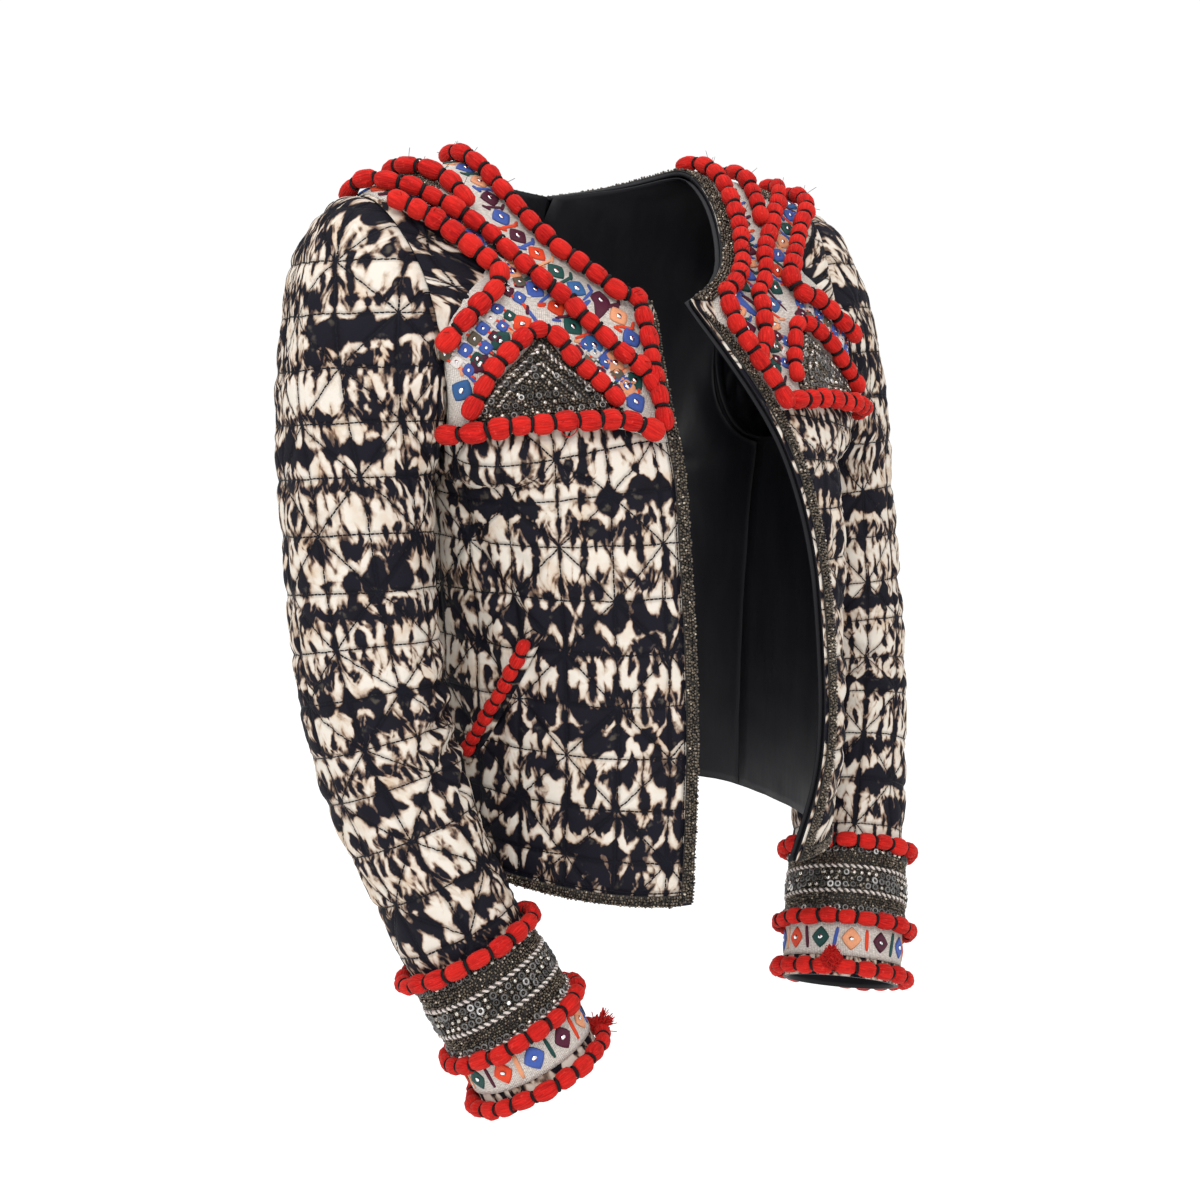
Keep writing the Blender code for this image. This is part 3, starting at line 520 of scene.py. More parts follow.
def inset(side, run, metres):
    """Places a distance in from the front edge or neckline, level with the given runs."""
    run = np.asarray(run, float)
    edge = body_point(side, 0.0, run)
    step = 1e-3
    ahead = unit(body_point(side, 0.0, run + step) - body_point(side, 0.0, run - step))
    inward = body_point(side, step, run) - edge
    inward = unit(inward - ahead * (inward * ahead).sum(-1, keepdims=True))
    length = np.linalg.norm(np.diff(body_point(side, np.linspace(0, 1, 9)[:, None], run), axis=0), axis=-1)
    return settle(side, edge + inward * metres, metres / length.sum(0), run)


def arm_lengths():
    """Places down the arm, and metres from its top to each."""
    down = np.linspace(1, 2, 101)
    top_z, end_z = ARM_STATIONS[0][2], ARM_STATIONS[-1][2]
    return down, distances(arm_frame(top_z + (end_z - top_z) * (down - 1))[0])


def down_at(metres):
    """Where on the sleeve a distance up from its end is."""
    down, length = arm_lengths()
    return np.interp(length[-1] - np.asarray(metres, float), length, down)


def up_from_end(down):
    """Metres up from the sleeve's end, about, for places down the sleeve."""
    marks, length = arm_lengths()
    arm = length[-1] - np.interp(np.clip(down, 1, 2), marks, length)
    return arm + np.clip(1 - down, 0, 1) * 0.20


# MAKING MESHES
def finish_piece(name, mesh, material, nodes=(), smooth=True):
    """Links a finished mesh, gives it its material, hangs it on the root body and hides the parts it stands for."""
    made = bpy.data.objects.new(name, mesh)
    bpy.context.scene.collection.objects.link(made)
    mesh.materials.append(material)
    if smooth:
        mesh.shade_smooth()
    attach(made, "root")
    if nodes:
        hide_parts(*nodes)
    return made


def cloth(name, grids, material, thickness, outward, nodes=(), seam=None, inner=None):
    """A sheet of cloth from flat grids laid on rows of points, with its thickness turned inwards.

    grids holds (points, uv). seam joins corners that are closer, and inner is the look of the inside."""
    work = bmesh.new()
    layer = work.loops.layers.uv.new("quilt")
    for points, uv in grids:
        columns, rows = points.shape[0] - 1, points.shape[1] - 1
        grid = bmesh.ops.create_grid(work, x_segments=columns, y_segments=rows, size=0.5)["verts"]
        places = {v: (round((v.co.x + 0.5) * columns), round((v.co.y + 0.5) * rows)) for v in grid}
        for face in {face for v in grid for face in v.link_faces}:
            for loop in face.loops:
                loop[layer].uv = uv[places[loop.vert]]
        for vert, place in places.items():
            vert.co = points[place]
    if seam is not None:
        bmesh.ops.remove_doubles(work, verts=work.verts, dist=seam)
    if len(grids) > 1:
        bmesh.ops.recalc_face_normals(work, faces=work.faces)
    work.normal_update()
    facing = sum(np.dot(face.normal, outward(np.array(face.calc_center_median()))) for face in list(work.faces)[::41])
    if facing < 0:
        bmesh.ops.reverse_faces(work, faces=work.faces)
    mesh = bpy.data.meshes.new(name)
    work.to_mesh(mesh)
    work.free()
    made = finish_piece(name, mesh, material, nodes)
    wall = made.modifiers.new("thickness", "SOLIDIFY")
    wall.thickness = thickness
    wall.offset = -1.0
    if inner:
        mesh.materials.append(inner)
        wall.material_offset = wall.material_offset_rim = 1
    return made


def shape_of(work):
    """Corners and faces of a small shape, for repeating it."""
    work.verts.index_update()
    corners = np.array([v.co[:] for v in work.verts])
    faces = [[v.index for v in face.verts] for face in work.faces]
    work.free()
    return corners, faces


def spun(work, wire, axis, steps):
    """A small shape, from a closed wire spun right round an axis."""
    bmesh.ops.spin(
        work, geom=wire + work.edges[:], cent=(0, 0, 0), axis=axis, angle=2 * math.pi, steps=steps, use_merge=True
    )
    bmesh.ops.remove_doubles(work, verts=work.verts, dist=1e-4)
    bmesh.ops.recalc_face_normals(work, faces=work.faces)
    return shape_of(work)


def repeated(name, shapes, material, nodes=(), smooth=True, colour=None, tone=None, strand=None):
    """One joined mesh from shapes (corners[copies, n, 3], faces), whose corners are already in place."""
    all_corners, all_loops, all_starts, counts = [], [], [], 0
    started = 0
    for corners, faces in shapes:
        copies, size = corners.shape[:2]
        flat = np.array([i for face in faces for i in face])
        lengths = np.array([len(face) for face in faces])
        loops = (flat[None] + (np.arange(copies) * size)[:, None]).reshape(-1) + counts
        starts = np.concatenate([[0], np.cumsum(np.tile(lengths, copies))[:-1]]) + started
        all_corners.append(corners.reshape(-1, 3))
        all_loops.append(loops)
        all_starts.append(starts)
        counts += copies * size
        started += len(loops)
    corners = np.concatenate(all_corners)
    loops = np.concatenate(all_loops)
    starts = np.concatenate(all_starts)
    mesh = bpy.data.meshes.new(name)
    mesh.vertices.add(len(corners))
    mesh.vertices.foreach_set("co", corners.reshape(-1))
    mesh.loops.add(len(loops))
    mesh.loops.foreach_set("vertex_index", loops)
    mesh.polygons.add(len(starts))
    mesh.polygons.foreach_set("loop_start", starts)
    mesh.update(calc_edges=True)
    mesh.validate()
    if colour is not None:
        values = mesh.attributes.new("dye", "FLOAT_COLOR", "POINT")
        values.data.foreach_set("color", np.concatenate([colour, np.ones((len(colour), 1))], 1).reshape(-1))
    if tone is not None:
        mesh.attributes.new("tone", "FLOAT", "POINT").data.foreach_set("value", tone)
    if strand is not None:
        mesh.attributes.new("strand", "FLOAT_VECTOR", "POINT").data.foreach_set("vector", strand.reshape(-1))
    return finish_piece(name, mesh, material, nodes, smooth)


def placed(corners, centres, first, second, third, sizes):
    """Copies of corners at centres, along three axes, each in its own size."""
    sizes = np.broadcast_to(np.asarray(sizes, float), centres.shape)
    local = corners[None] * sizes[:, None]
    return (
        centres[:, None]
        + local[..., 0:1] * first[:, None]
        + local[..., 1:2] * second[:, None]
        + local[..., 2:3] * third[:, None]
    )


def strands(name, paths, radius, material, sides=0, nodes=()):
    """Thin round threads along paths, as one mesh."""
    curve = bpy.data.curves.new(name, "CURVE")
    curve.dimensions = "3D"
    curve.bevel_depth = radius
    curve.bevel_resolution = sides
    curve.use_fill_caps = True
    for path in paths:
        line = curve.splines.new("POLY")
        line.points.add(len(path) - 1)
        for point, place in zip(line.points, path):
            point.co = (*place, 1.0)
    guide = bpy.data.objects.new(name + "_guide", curve)
    mesh = bpy.data.meshes.new_from_object(guide)
    bpy.data.objects.remove(guide)
    mesh.name = name
    return finish_piece(name, mesh, material, nodes)


# MATERIALS
class Value:
    """A socket of a material, so that sums on it are written as sums."""

    def __init__(self, look, socket):
        self.look, self.socket = look, socket

    def sum(self, operation, *others):
        return self.look.node("ShaderNodeMath", {"operation": operation}, dict(enumerate((self, *others))))

    def __add__(self, other):
        return self.sum("ADD", other)

    __radd__ = __add__

    def __sub__(self, other):
        return self.sum("SUBTRACT", other)

    def __rsub__(self, other):
        return self.look.node("ShaderNodeMath", {"operation": "SUBTRACT"}, {0: other, 1: self})

    def __mul__(self, other):
        return self.sum("MULTIPLY", other)

    __rmul__ = __mul__

    def __truediv__(self, other):
        return self.sum("DIVIDE", other)

    def __pow__(self, other):
        return self.sum("POWER", other)

    def least(self, other):
        return self.sum("MINIMUM", other)

    def most(self, other):
        return self.sum("MAXIMUM", other)

    def fold(self, half):
        """Distance to the nearest multiple of twice half."""
        return self.sum("PINGPONG", half)

    def sine(self):
        return self.sum("SINE")

    def size(self):
        return self.sum("ABSOLUTE")

    def step(self, low, high, start=0.0, end=1.0):
        """A soft step from start to end as the value goes from low to high."""
        return self.look.node(
            "ShaderNodeMapRange", {"interpolation_type": "SMOOTHSTEP"}, {0: self, 1: low, 2: high, 3: start, 4: end}
        )


class Look:
    """A material in the making."""

    def __init__(self, name, **constants):
        self.material = bpy.data.materials.new(name)
        self.material.use_nodes = True
        self.tree = self.material.node_tree
        self.shader = self.tree.nodes["Principled BSDF"]
        for socket, value in constants.items():
            self.shader.inputs[socket.replace("_", " ")].default_value = value

    def node(self, kind, settings=None, sockets=None, out=0):
        made = self.tree.nodes.new(kind)
        for name, value in (settings or {}).items():
            if name == "stops":
                ramp = made.color_ramp
                while len(ramp.elements) < len(value):
                    ramp.elements.new(0.5)
                for stop, (place, colour) in zip(ramp.elements, value):
                    stop.position, stop.color = place, (*colour, 1.0)
            else:
                setattr(made, name, value)
        for name, value in (sockets or {}).items():
            self.feed(made.inputs[name], value)
        return Value(self, made.outputs[out])

    def feed(self, socket, value):
        if isinstance(value, Value):
            self.tree.links.new(value.socket, socket)
        else:
            socket.default_value = (*value, 1.0) if isinstance(value, tuple) and socket.type == "RGBA" else value

    def set(self, name, value):
        self.feed(self.shader.inputs[name], value)

    def vector(self, x, y, z=0.0):
        return self.node("ShaderNodeCombineXYZ", None, {0: x, 1: y, 2: z})

    def parts(self, vector):
        made = self.tree.nodes.new("ShaderNodeSeparateXYZ")
        self.feed(made.inputs[0], vector)
        return [Value(self, made.outputs[i]) for i in range(3)]

    def noise(self, where, scale, detail=2.0, roughness=0.5):
        sockets = {"Vector": where, "Scale": scale, "Detail": detail, "Roughness": roughness}
        return self.node("ShaderNodeTexNoise", {"noise_dimensions": "3D"}, sockets)

    def mix(self, factor, first, second, kind="MIX"):
        return self.node(
            "ShaderNodeMix", {"data_type": "RGBA", "blend_type": kind, "clamp_factor": True},
            {0: factor, 6: first, 7: second}, out=2,
        )

    def dimmed(self, colour, by):
        return self.mix(1.0, colour, by, "MULTIPLY")

    def bump(self, height, strength, distance, under=None):
        sockets = {"Height": height, "Strength": strength, "Distance": distance}
        if under is not None:
            sockets["Normal"] = under
        return self.node("ShaderNodeBump", None, sockets)

    def where(self):
        return self.node("ShaderNodeTexCoord", out=3)

    def uv(self):
        return self.node("ShaderNodeUVMap", {"uv_map": "quilt"})

    def held(self, name, out):
        return self.node("ShaderNodeAttribute", {"attribute_name": name}, out=out)


CREAM = (0.650, 0.600, 0.530)
FRINGE = (0.190, 0.125, 0.090)
INK = (0.0085, 0.0080, 0.0135)


def quilted_cotton(name, band_at, spot_at, edge_line=None, stain=None):
    """Tie-dyed cotton, stitched in squares and stars. The UV counts quilted squares."""
    look = Look(name, Specular_IOR_Level=0.10)
    column, row, _ = look.parts(look.uv())
    x, y = column * 36.0, row * 36.0
    flat = look.vector(x, y)
    drift = look.noise(flat, 0.030, 1.0) - 0.5
    wander = look.noise(flat, 0.14, 2.0) - 0.5
    lift = look.noise(look.vector(x + 300.0, y), 0.045, 1.0) - 0.5
    slow = look.noise(look.vector(x, y + 500.0), 0.020, 0.0)
    # folded dye: everything is mirrored about upright lines 18 apart
    dye_x = x + drift * 12.0 + wander * 3.0
    dye_y = y + lift * 16.0 - band_at
    fold = dye_x.fold(9.0)
    far = 9.0 - fold
    level = dye_y.fold(40.75)
    at = look.vector((fold + level * 0.22) / 8.0, dye_y / 21.0, slow * 6.0 + spot_at)
    blots = look.noise(at, 1.0, 1.0, 0.4) - 0.5
    wide = dye_x.fold(18.0)
    at = look.vector((wide + level * 0.50) / 7.5, (level - wide * 0.4) / 27.0, slow * 5.0 + spot_at * 2.0)
    vees = look.noise(at, 1.0, 1.0, 0.4) - 0.5
    small = look.noise(look.vector(fold / 3.4, dye_y / 5.2, slow * 9.0 + spot_at), 1.0, 2.0) - 0.5
    # dark belts with tongues, spindles in the open fields, and branches that leave them aslant
    tongue = (far / 9.0) ** 2.2
    belt = 5.4 + (drift + slow - 0.5) * 22.0 + tongue * 8.0 - level
    first = (1.0 - ((level - 21.5) / 10.5) ** 2.0) * 4.2 - fold * 1.20
    second = (1.0 - ((level - 39.0) / 7.5) ** 2.0) * 3.6 - fold * 1.35
    beside = (1.0 - ((level - 30.0) / 7.5) ** 2.0) * 3.4 - far * 1.35
    branch = 1.5 - (level - 10.0 - far * 2.1).size() * 0.55 - fold * 0.05
    twig = 1.6 - (level - 34.0 + fold * 1.9).size() * 0.60
    shapes = belt.most(first).most(second).most(beside).most(branch).most(twig)
    dark = shapes.most(-4.5) * 0.72 + blots * 9.5 + vees * 12.5 + small * 4.2 + wander * 3.0 + 0.40 - slow * 2.2
    place = (dark.most(-8.0).least(8.0) + 8.0) / 16.0
    dyed = look.node("ShaderNodeValToRGB", {"stops": (
        (0.0, CREAM), (0.31, CREAM), (0.42, (0.54, 0.45, 0.365)), (0.485, FRINGE), (0.545, INK), (1.0, INK),
    )}, {0: place})
    wash = look.noise(look.vector(x, y + 90.0), 0.045, 3.0)
    light = look.mix(wash.step(0.48, 0.74) * 0.8, dyed, look.dimmed(dyed, (0.86, 0.74, 0.63)))
    worn = look.noise(look.vector(x + 70.0, y), 0.085, 3.0).step(0.60, 0.72) * 0.55
    colour = look.mix(worn * dark.step(1.2, 3.5), light, (0.115, 0.098, 0.075))
    if stain:
        away = ((x - stain[0]) * (x - stain[0]) / 2.2 + (y - stain[1]) * (y - stain[1]) / 6.0) ** 0.5
        colour = look.mix((away + wander * 3.0).step(1.6, 3.4, 1.0, 0.0) * 0.75, colour, (0.80, 0.52, 0.20), "MULTIPLY")
    # stitched lines: across, upright and both ways aslant through every other crossing
    shake = look.noise(flat, 0.22, 1.0) - 0.5
    sx, sy = x + shake * 1.7, y + drift * 2.4 + shake * 1.2
    lines = (
        (sy.fold(18.0), x),
        (sx.fold(18.0), y),
        ((sx - sy).fold(36.0) * 0.7071, (x + y) * 0.7071),
        ((sx + sy).fold(36.0) * 0.7071, (x - y) * 0.7071),
    )
    if edge_line:
        lines += (((y - edge_line[1]).size(), x), ((x - edge_line[0]).size(), y))
    thread, near = None, None
    for distance, run in lines:
        gap = (run * (2 * math.pi / 3.1)).sine().step(-0.97, -0.62, 0.50, 1.0)
        stitch = distance.step(0.36, 0.70, 1.0, 0.0) * gap
        thread = stitch if thread is None else thread.most(stitch)
        near = distance if near is None else near.least(distance)
    groove = near.step(0.0, 3.4)
    # painted shade: the colour is darkened in the grooves along the stitched lines, between the puffs
    shade = look.mix(groove.step(0.0, 1.0, 0.55, 0.0), colour, look.dimmed(colour, (0.42, 0.38, 0.36)))
    colour = look.mix(thread, shade, (0.004, 0.005, 0.010))
    weave = (x * 9.0).sine() * (y * 9.0).sine()
    look.set("Base Color", look.mix(weave.step(-1.0, 1.0, 0.0, 0.10), colour, look.dimmed(colour, (0.80, 0.76, 0.72))))
    look.set("Roughness", thread * -0.25 + 0.76)
    pucker = look.noise(look.vector(x, y), 0.30, 3.0) * near.step(1.0, 8.0, 1.0, 0.15)
    crumple = look.noise(look.vector(x, y + 40.0), 0.085, 2.0)
    relief = groove * 0.9 + pucker * 0.6 + crumple * 0.9 + thread * 0.22 + weave * 0.02
    look.set("Normal", look.bump(relief, 0.85, 0.0013))
    return look.material


def black_lining():
    look = Look("black_lining", Specular_IOR_Level=0.2)
    at = look.where()
    x, y, z = look.parts(at)
    fine = look.noise(look.vector(x * 60.0, y * 60.0, z * 14.0), 1.0, 3.0)
    broad = look.noise(at, 16.0, 2.0)
    look.set("Base Color", look.mix(fine, (0.0045, 0.0045, 0.006), (0.010, 0.010, 0.013)))
    look.set("Roughness", fine * 0.15 + 0.45)
    look.set("Normal", look.bump(fine * 0.5 + broad, 0.6, 0.0022))
    return look.material


def yoke_cloth():
    """White cotton under the embroidery, dense with couched thread."""
    look = Look("yoke_cloth", Specular_IOR_Level=0.15)
    x, y, _ = look.parts(look.uv())
    rib = (x * 4.6 + look.noise(look.vector(x, y), 0.4, 1.0) * 3.0).sine()
    slub = look.noise(look.vector(x * 0.35, y * 1.6), 1.0, 3.0)
    dirt = look.noise(look.vector(x, y), 0.05, 3.0).step(0.5, 0.75)
    colour = look.mix(slub.step(0.3, 0.7), (0.46, 0.42, 0.38), (0.76, 0.72, 0.66))
    # painted shade: the troughs between the ribs are darkened
    colour = look.mix(rib.step(-1.0, -0.3, 0.45, 0.0), colour, (0.26, 0.23, 0.21))
    look.set("Base Color", look.mix(dirt * 0.45, colour, (0.40, 0.34, 0.29)))
    look.set("Roughness", slub * 0.2 + 0.7)
    look.set("Normal", look.bump(rib * 0.5 + slub * 1.4, 0.7, 0.0006))
    return look.material


def silk_thread():
    """Satin stitch: close threads, each colour from its own piece."""
    look = Look("silk_thread", Specular_IOR_Level=0.30)
    at = look.parts(look.held("strand", 1))
    lay = (at[0] * 26.0 + look.noise(look.where(), 700.0, 1.0) * 2.0).sine()
    streak = look.noise(look.vector(at[0] * 9.0, at[1] * 1.2, at[2]), 1.0, 2.0)
    dye = look.held("dye", 0)
    colour = look.mix(streak.step(0.35, 0.75) * 0.35, dye, look.dimmed(dye, (0.45, 0.42, 0.42)))
    look.set("Base Color", colour)
    look.set("Roughness", streak * 0.25 + 0.42)
    look.set("Normal", look.bump(lay * 0.5 + streak, 0.6, 0.0005))
    return look.material


def red_wool():
    """Wool wound lengthwise over each lump."""
    look = Look("red_wool", Sheen_Weight=0.12, Sheen_Roughness=0.5, Specular_IOR_Level=0.08)
    look.shader.inputs["Sheen Tint"].default_value = (1.0, 0.30, 0.22, 1.0)
    rx, ry, rt = look.parts(look.held("strand", 1))
    tone = look.held("tone", 2)
    fibre = look.noise(look.vector(rx * 7.0, ry * 7.0, rt * 0.9 + tone * 40.0), 1.0, 3.0, 0.6)
    yarn = look.noise(look.vector(rx * 2.6, ry * 2.6, rt * 0.5 + tone * 17.0), 1.0, 1.0)
    fluff = look.noise(look.where(), 420.0, 2.0)
    colour = look.mix(fibre.step(0.3, 0.75), (0.26, 0.006, 0.006), (0.63, 0.017, 0.014))
    colour = look.mix(tone.step(0.0, 1.0, 0.0, 0.30), colour, (0.72, 0.028, 0.018))
    look.set("Base Color", look.mix(fluff.step(0.58, 0.78) * 0.35, colour, (0.80, 0.075, 0.055)))
    look.set("Roughness", fibre * 0.1 + 0.82)
    look.set("Normal", look.bump(fibre * 1.0 + yarn * 0.8 + fluff * 0.4, 0.9, 0.0009))
    return look.material


def mottled(name, scale, first, second, rough, bump=None, span=None, **constants):
    """A small plain finish, mottled finely between two colours."""
    look = Look(name, **constants)
    fine = look.noise(look.where(), scale, 2.0)
    look.set("Base Color", look.mix(fine.step(*span) if span else fine, first, second))
    look.set("Roughness", fine * rough[0] + rough[1])
    if bump:
        look.set("Normal", look.bump(fine, *bump))
    return look.material


def bead_glass(name, dark, light, bright, roughness, metal):
    """Small glass or metal beads, each of its own tone."""
    look = Look(name)
    tone = look.held("tone", 2)
    stops = (0.0, dark), (0.7, light), (0.93, light), (1.0, bright)
    colour = look.node("ShaderNodeValToRGB", {"stops": stops}, {0: tone})
    wear = look.noise(look.where(), 900.0, 2.0)
    look.set("Base Color", look.mix(wear.step(0.45, 0.8) * 0.4, colour, dark))
    look.set("Roughness", wear * 0.25 + roughness)
    look.set("Metallic", tone.step(0.0, 1.0, metal * 0.8, metal))
    return look.material


# THE QUILTED SURFACE
def value_noise(x, y, seed):
    """Smooth uneven heights from -1 to 1, the same each time."""
    total = np.zeros(np.broadcast(x, y).shape)
    draw = np.random.default_rng(seed)
    for level in range(7):
        angle, phase = draw.uniform(0, 2 * math.pi, 2)
        pitch = 1.0 + 0.55 * level
        bent = 1.3 * np.sin(y * 0.7 * pitch + x * 0.3 + phase)
        total += np.sin((x * math.cos(angle) + y * math.sin(angle)) * pitch + phase + bent) / 7
    return total * 1.6


def wadding(column, row, seed):
    """Height of the quilted cloth between its stitched lines, in shares of the full puff."""
    def off(value, half):
        return np.abs(np.mod(value + half, 2 * half) - half)

    nearest = np.minimum(off(row, 0.5), off(column, 0.5))
    aslant = np.minimum(off(column - row, 1.0), off(column + row, 1.0)) * 0.7071
    nearest = np.minimum(nearest, aslant)
    share = np.clip(nearest / 0.29, 0, 1)
    dome = 1 - (1 - share) ** 2.4
    uneven = 1 + 0.28 * value_noise(column * 2.2, row * 2.2, seed)
    return dome * uneven + 0.10 * value_noise(column * 9, row * 9, seed + 1) * np.exp(-share * 3)


def crease(x, y, start, end, width):
    """1 on a line from start to end, fading over width and towards both ends."""
    sx, sy = end[0] - start[0], end[1] - start[1]
    length = math.hypot(sx, sy)
    ahead = ((x - start[0]) * sx + (y - start[1]) * sy) / length
    beside = ((y - start[1]) * sx - (x - start[0]) * sy) / length
    share = np.clip(ahead / length, 0, 1)
    bow = beside + 0.12 * length * np.sin(math.pi * share)
    over = np.maximum(np.maximum(-ahead, ahead - length), 0)
    swell = np.sin(math.pi * np.clip(share, 0.04, 0.96)) ** 0.5
    return np.exp(-((bow / width) ** 2)) * swell * np.exp(-((over / width) ** 2))


# Creases pressed into the cloth, in metres from the edge and up from the hem, with depth and width
BODY_CREASES = {
    "front_right": (
        # start, end, depth, width
        ((0.160, 0.235), (0.120, 0.120), 0.0040, 0.0075),
        ((0.135, 0.245), (0.098, 0.170), 0.0022, 0.0065),
        ((0.176, 0.200), (0.152, 0.080), 0.0034, 0.0080),
        ((0.182, 0.280), (0.150, 0.215), 0.0036, 0.0070),
        ((0.075, 0.060), (0.110, 0.015), 0.0016, 0.0085),
        ((0.030, 0.285), (0.095, 0.262), 0.0012, 0.0080),
    ),
    "front_left": (
        ((0.030, 0.290), (0.026, 0.150), 0.0045, 0.0065),
        ((0.048, 0.300), (0.044, 0.130), 0.0040, 0.0060),
        ((0.066, 0.280), (0.060, 0.110), 0.0034, 0.0065),
        ((0.020, 0.150), (0.034, 0.040), 0.0030, 0.0070),
        ((0.110, 0.250), (0.095, 0.120), 0.0030, 0.0080),
        ((0.150, 0.240), (0.130, 0.110), 0.0034, 0.0080),
        ((0.080, 0.080), (0.120, 0.020), 0.0018, 0.0085),
    ),
    "back": (
        ((0.150, 0.300), (0.070, 0.240), 0.0028, 0.0100),
        ((0.155, 0.250), (0.090, 0.170), 0.0030, 0.0090),
        ((0.140, 0.180), (0.060, 0.120), 0.0022, 0.0095),
        ((0.030, 0.215), (0.110, 0.200), 0.0018, 0.0085),
        ((0.120, 0.090), (0.075, 0.015), 0.0020, 0.0095),
    ),
}

# Creases of a sleeve: angle in degrees and metres up from its end
SLEEVE_CREASES = (
    # start, end, depth, width
    ((150, 0.268), (78, 0.236), 0.0052, 0.0060),
    ((160, 0.247), (84, 0.214), 0.0046, 0.0058),
    ((172, 0.225), (110, 0.200), 0.0044, 0.0056),
    ((148, 0.300), (100, 0.262), 0.0034, 0.0065),
    ((200, 0.262), (262, 0.228), 0.0040, 0.0062),
    ((196, 0.235), (248, 0.206), 0.0040, 0.0060),
    ((128, 0.372), (150, 0.330), 0.0026, 0.0070),
    ((40, 0.330), (88, 0.302), 0.0014, 0.0080),
    ((20, 0.205), (64, 0.176), 0.0016, 0.0080),
    ((300, 0.320), (340, 0.296), 0.0018, 0.0080),
    ((170, 0.182), (120, 0.150), 0.0024, 0.0065),
    ((190, 0.170), (250, 0.145), 0.0024, 0.0065),
    ((70, 0.150), (112, 0.132), 0.0016, 0.0070),
)


def smooth_step(value, low, high):
    share = np.clip((value - low) / (high - low), 0, 1)
    return share * share * (3 - 2 * share)


def yoke_foot(side, across):
    """The run at which the yoke ends below, under its base row of wool."""
    row = np.array(sorted(WOOL_ROWS[side]["base"]))
    return np.interp(across, row[:, 0], row[:, 1]) - 0.002


def under_yoke(side, across, run):
    """1 where the yoke covers the body, fading at its edges."""
    edge = np.array(YOKE_OUTER_EDGE)
    outer = np.interp(run, edge[:, 1], edge[:, 0])
    inside = smooth_step(outer - across, -0.06, 0.02)
    above = run - yoke_foot(side, across)
    return inside * smooth_step(above, -0.010, 0.003) * smooth_step(YOKE_END_RUN - run, -0.012, 0.004)


def quilt_cells(part, side, reach, run):
    """Quilted squares across and up, from metres in from the edge and along the body."""
    if part == "back":
        return reach / QUILT, (BACK_HEM_RUN - run - 0.030) / QUILT
    if side == "right":
        return (reach - 0.0223) / QUILT, (run - 0.030) / QUILT
    return (reach - 0.0108 - 0.332 * np.maximum(run - 0.215, 0)) / QUILT, run / QUILT


def body_cloth(side, part, across, run, seed):
    """Points, quilted squares of a front or half the back, with puffs and creases."""
    base = body_point(side, across, run)
    normal = body_normal(side, across, run)
    reach = distances(base)
    span = reach[-1:]
    column, row = quilt_cells(part, side, reach, run + 0 * reach)
    up = run + 0 * reach if part != "back" else BACK_HEM_RUN - run + 0 * reach
    puff = wadding(column, row, seed)
    calm = smooth_step(up, 0.006, 0.020) * smooth_step(span - reach, 0.000, 0.012)
    if part == "back":
        calm = calm * np.where(run < BACK_NECK_RUN, smooth_step(reach, 0.008, 0.018), 1.0)
    else:
        calm = calm * smooth_step(reach, 0.009, 0.018)
    calm = calm * (1 - under_yoke(side, across + 0 * run, run + 0 * across))
    folds = np.zeros_like(puff)
    for start, end, depth, width in BODY_CREASES[part if part == "back" else f"{part}_{side}"]:
        folds -= depth * crease(reach, up, start, end, width)
        shifted = (start[0] + width * 1.9, start[1]), (end[0] + width * 1.9, end[1])
        folds += depth * 0.45 * crease(reach, up, *shifted, width * 1.1)
    seamed = smooth_step(span - reach, 0.0, 0.010)
    soft = 0.0011 * value_noise(reach / 0.030, up / 0.040, seed + 5)
    out = -0.0008 + PUFF * puff * calm + (folds + soft) * calm * seamed
    return base + normal * out[..., None], np.stack([column, row], -1)


FRONT_STEPS = np.linspace(0.0, SHOULDER_RUN - 0.0002, 186)
BACK_STEPS = np.unique(np.append(np.linspace(SHOULDER_RUN + 0.0002, BACK_HEM_RUN, 198), BACK_NECK_RUN))
ACROSS = np.linspace(0.0, 0.999, 68)


def trunk_outward(point):
    """Roughly away from the middle of the trunk, and up over the shoulders."""
    away = point - np.array((0.0, -0.035, min(point[2], -0.10)))
    return away / np.linalg.norm(away)


def arm_outward(side):
    def outward(point):
        z = np.clip(point[2], ARM_STATIONS[-1][2], ARM_STATIONS[0][2])
        centre = arm_frame(np.array([z]))[0][0] * MIRRORED[side]
        return (point - centre) / np.linalg.norm(point - centre)

    return outward


def shells(looks, inner):
    """The quilted fronts and the back, which is laid in two halves and joined down its middle."""
    for side, seed in (("right", 11), ("left", 23)):
        made = cloth(
            f"quilted_front_{side}", [body_cloth(side, "front", ACROSS[:, None], FRONT_STEPS[None], seed)],
            looks[f"front_{side}"], SHELL_THICKNESS, trunk_outward, [f"shell_front_{side}"],
            inner=inner,
        )
    right, right_cells = body_cloth("right", "back", ACROSS[:, None], BACK_STEPS[None], 37)
    left, left_cells = body_cloth("left", "back", ACROSS[:, None], BACK_STEPS[None], 41)
    neck = int(np.argmax(BACK_STEPS >= BACK_NECK_RUN))
    right[0, neck:] = left[0, neck:] = (right[0, neck:] + left[0, neck:]) / 2 * (0, 1, 1)
    made = cloth(
        "quilted_back", [(right[::-1], (right_cells * (-1, 1))[::-1]), (left, left_cells)], looks["back"],
        SHELL_THICKNESS, trunk_outward, ["shell_back"], seam=1e-5, inner=inner,
    )


HEAD_STEPS, ARM_STEPS = 54, 120
CREASE_RADIUS = 0.050
SEAM_ALLOWANCE = (0.0100, 0.0, 0.0)
SLEEVE_DOWN = np.concatenate([np.linspace(0, 1, HEAD_STEPS + 1), np.linspace(1, 2, ARM_STEPS + 1)[1:]])


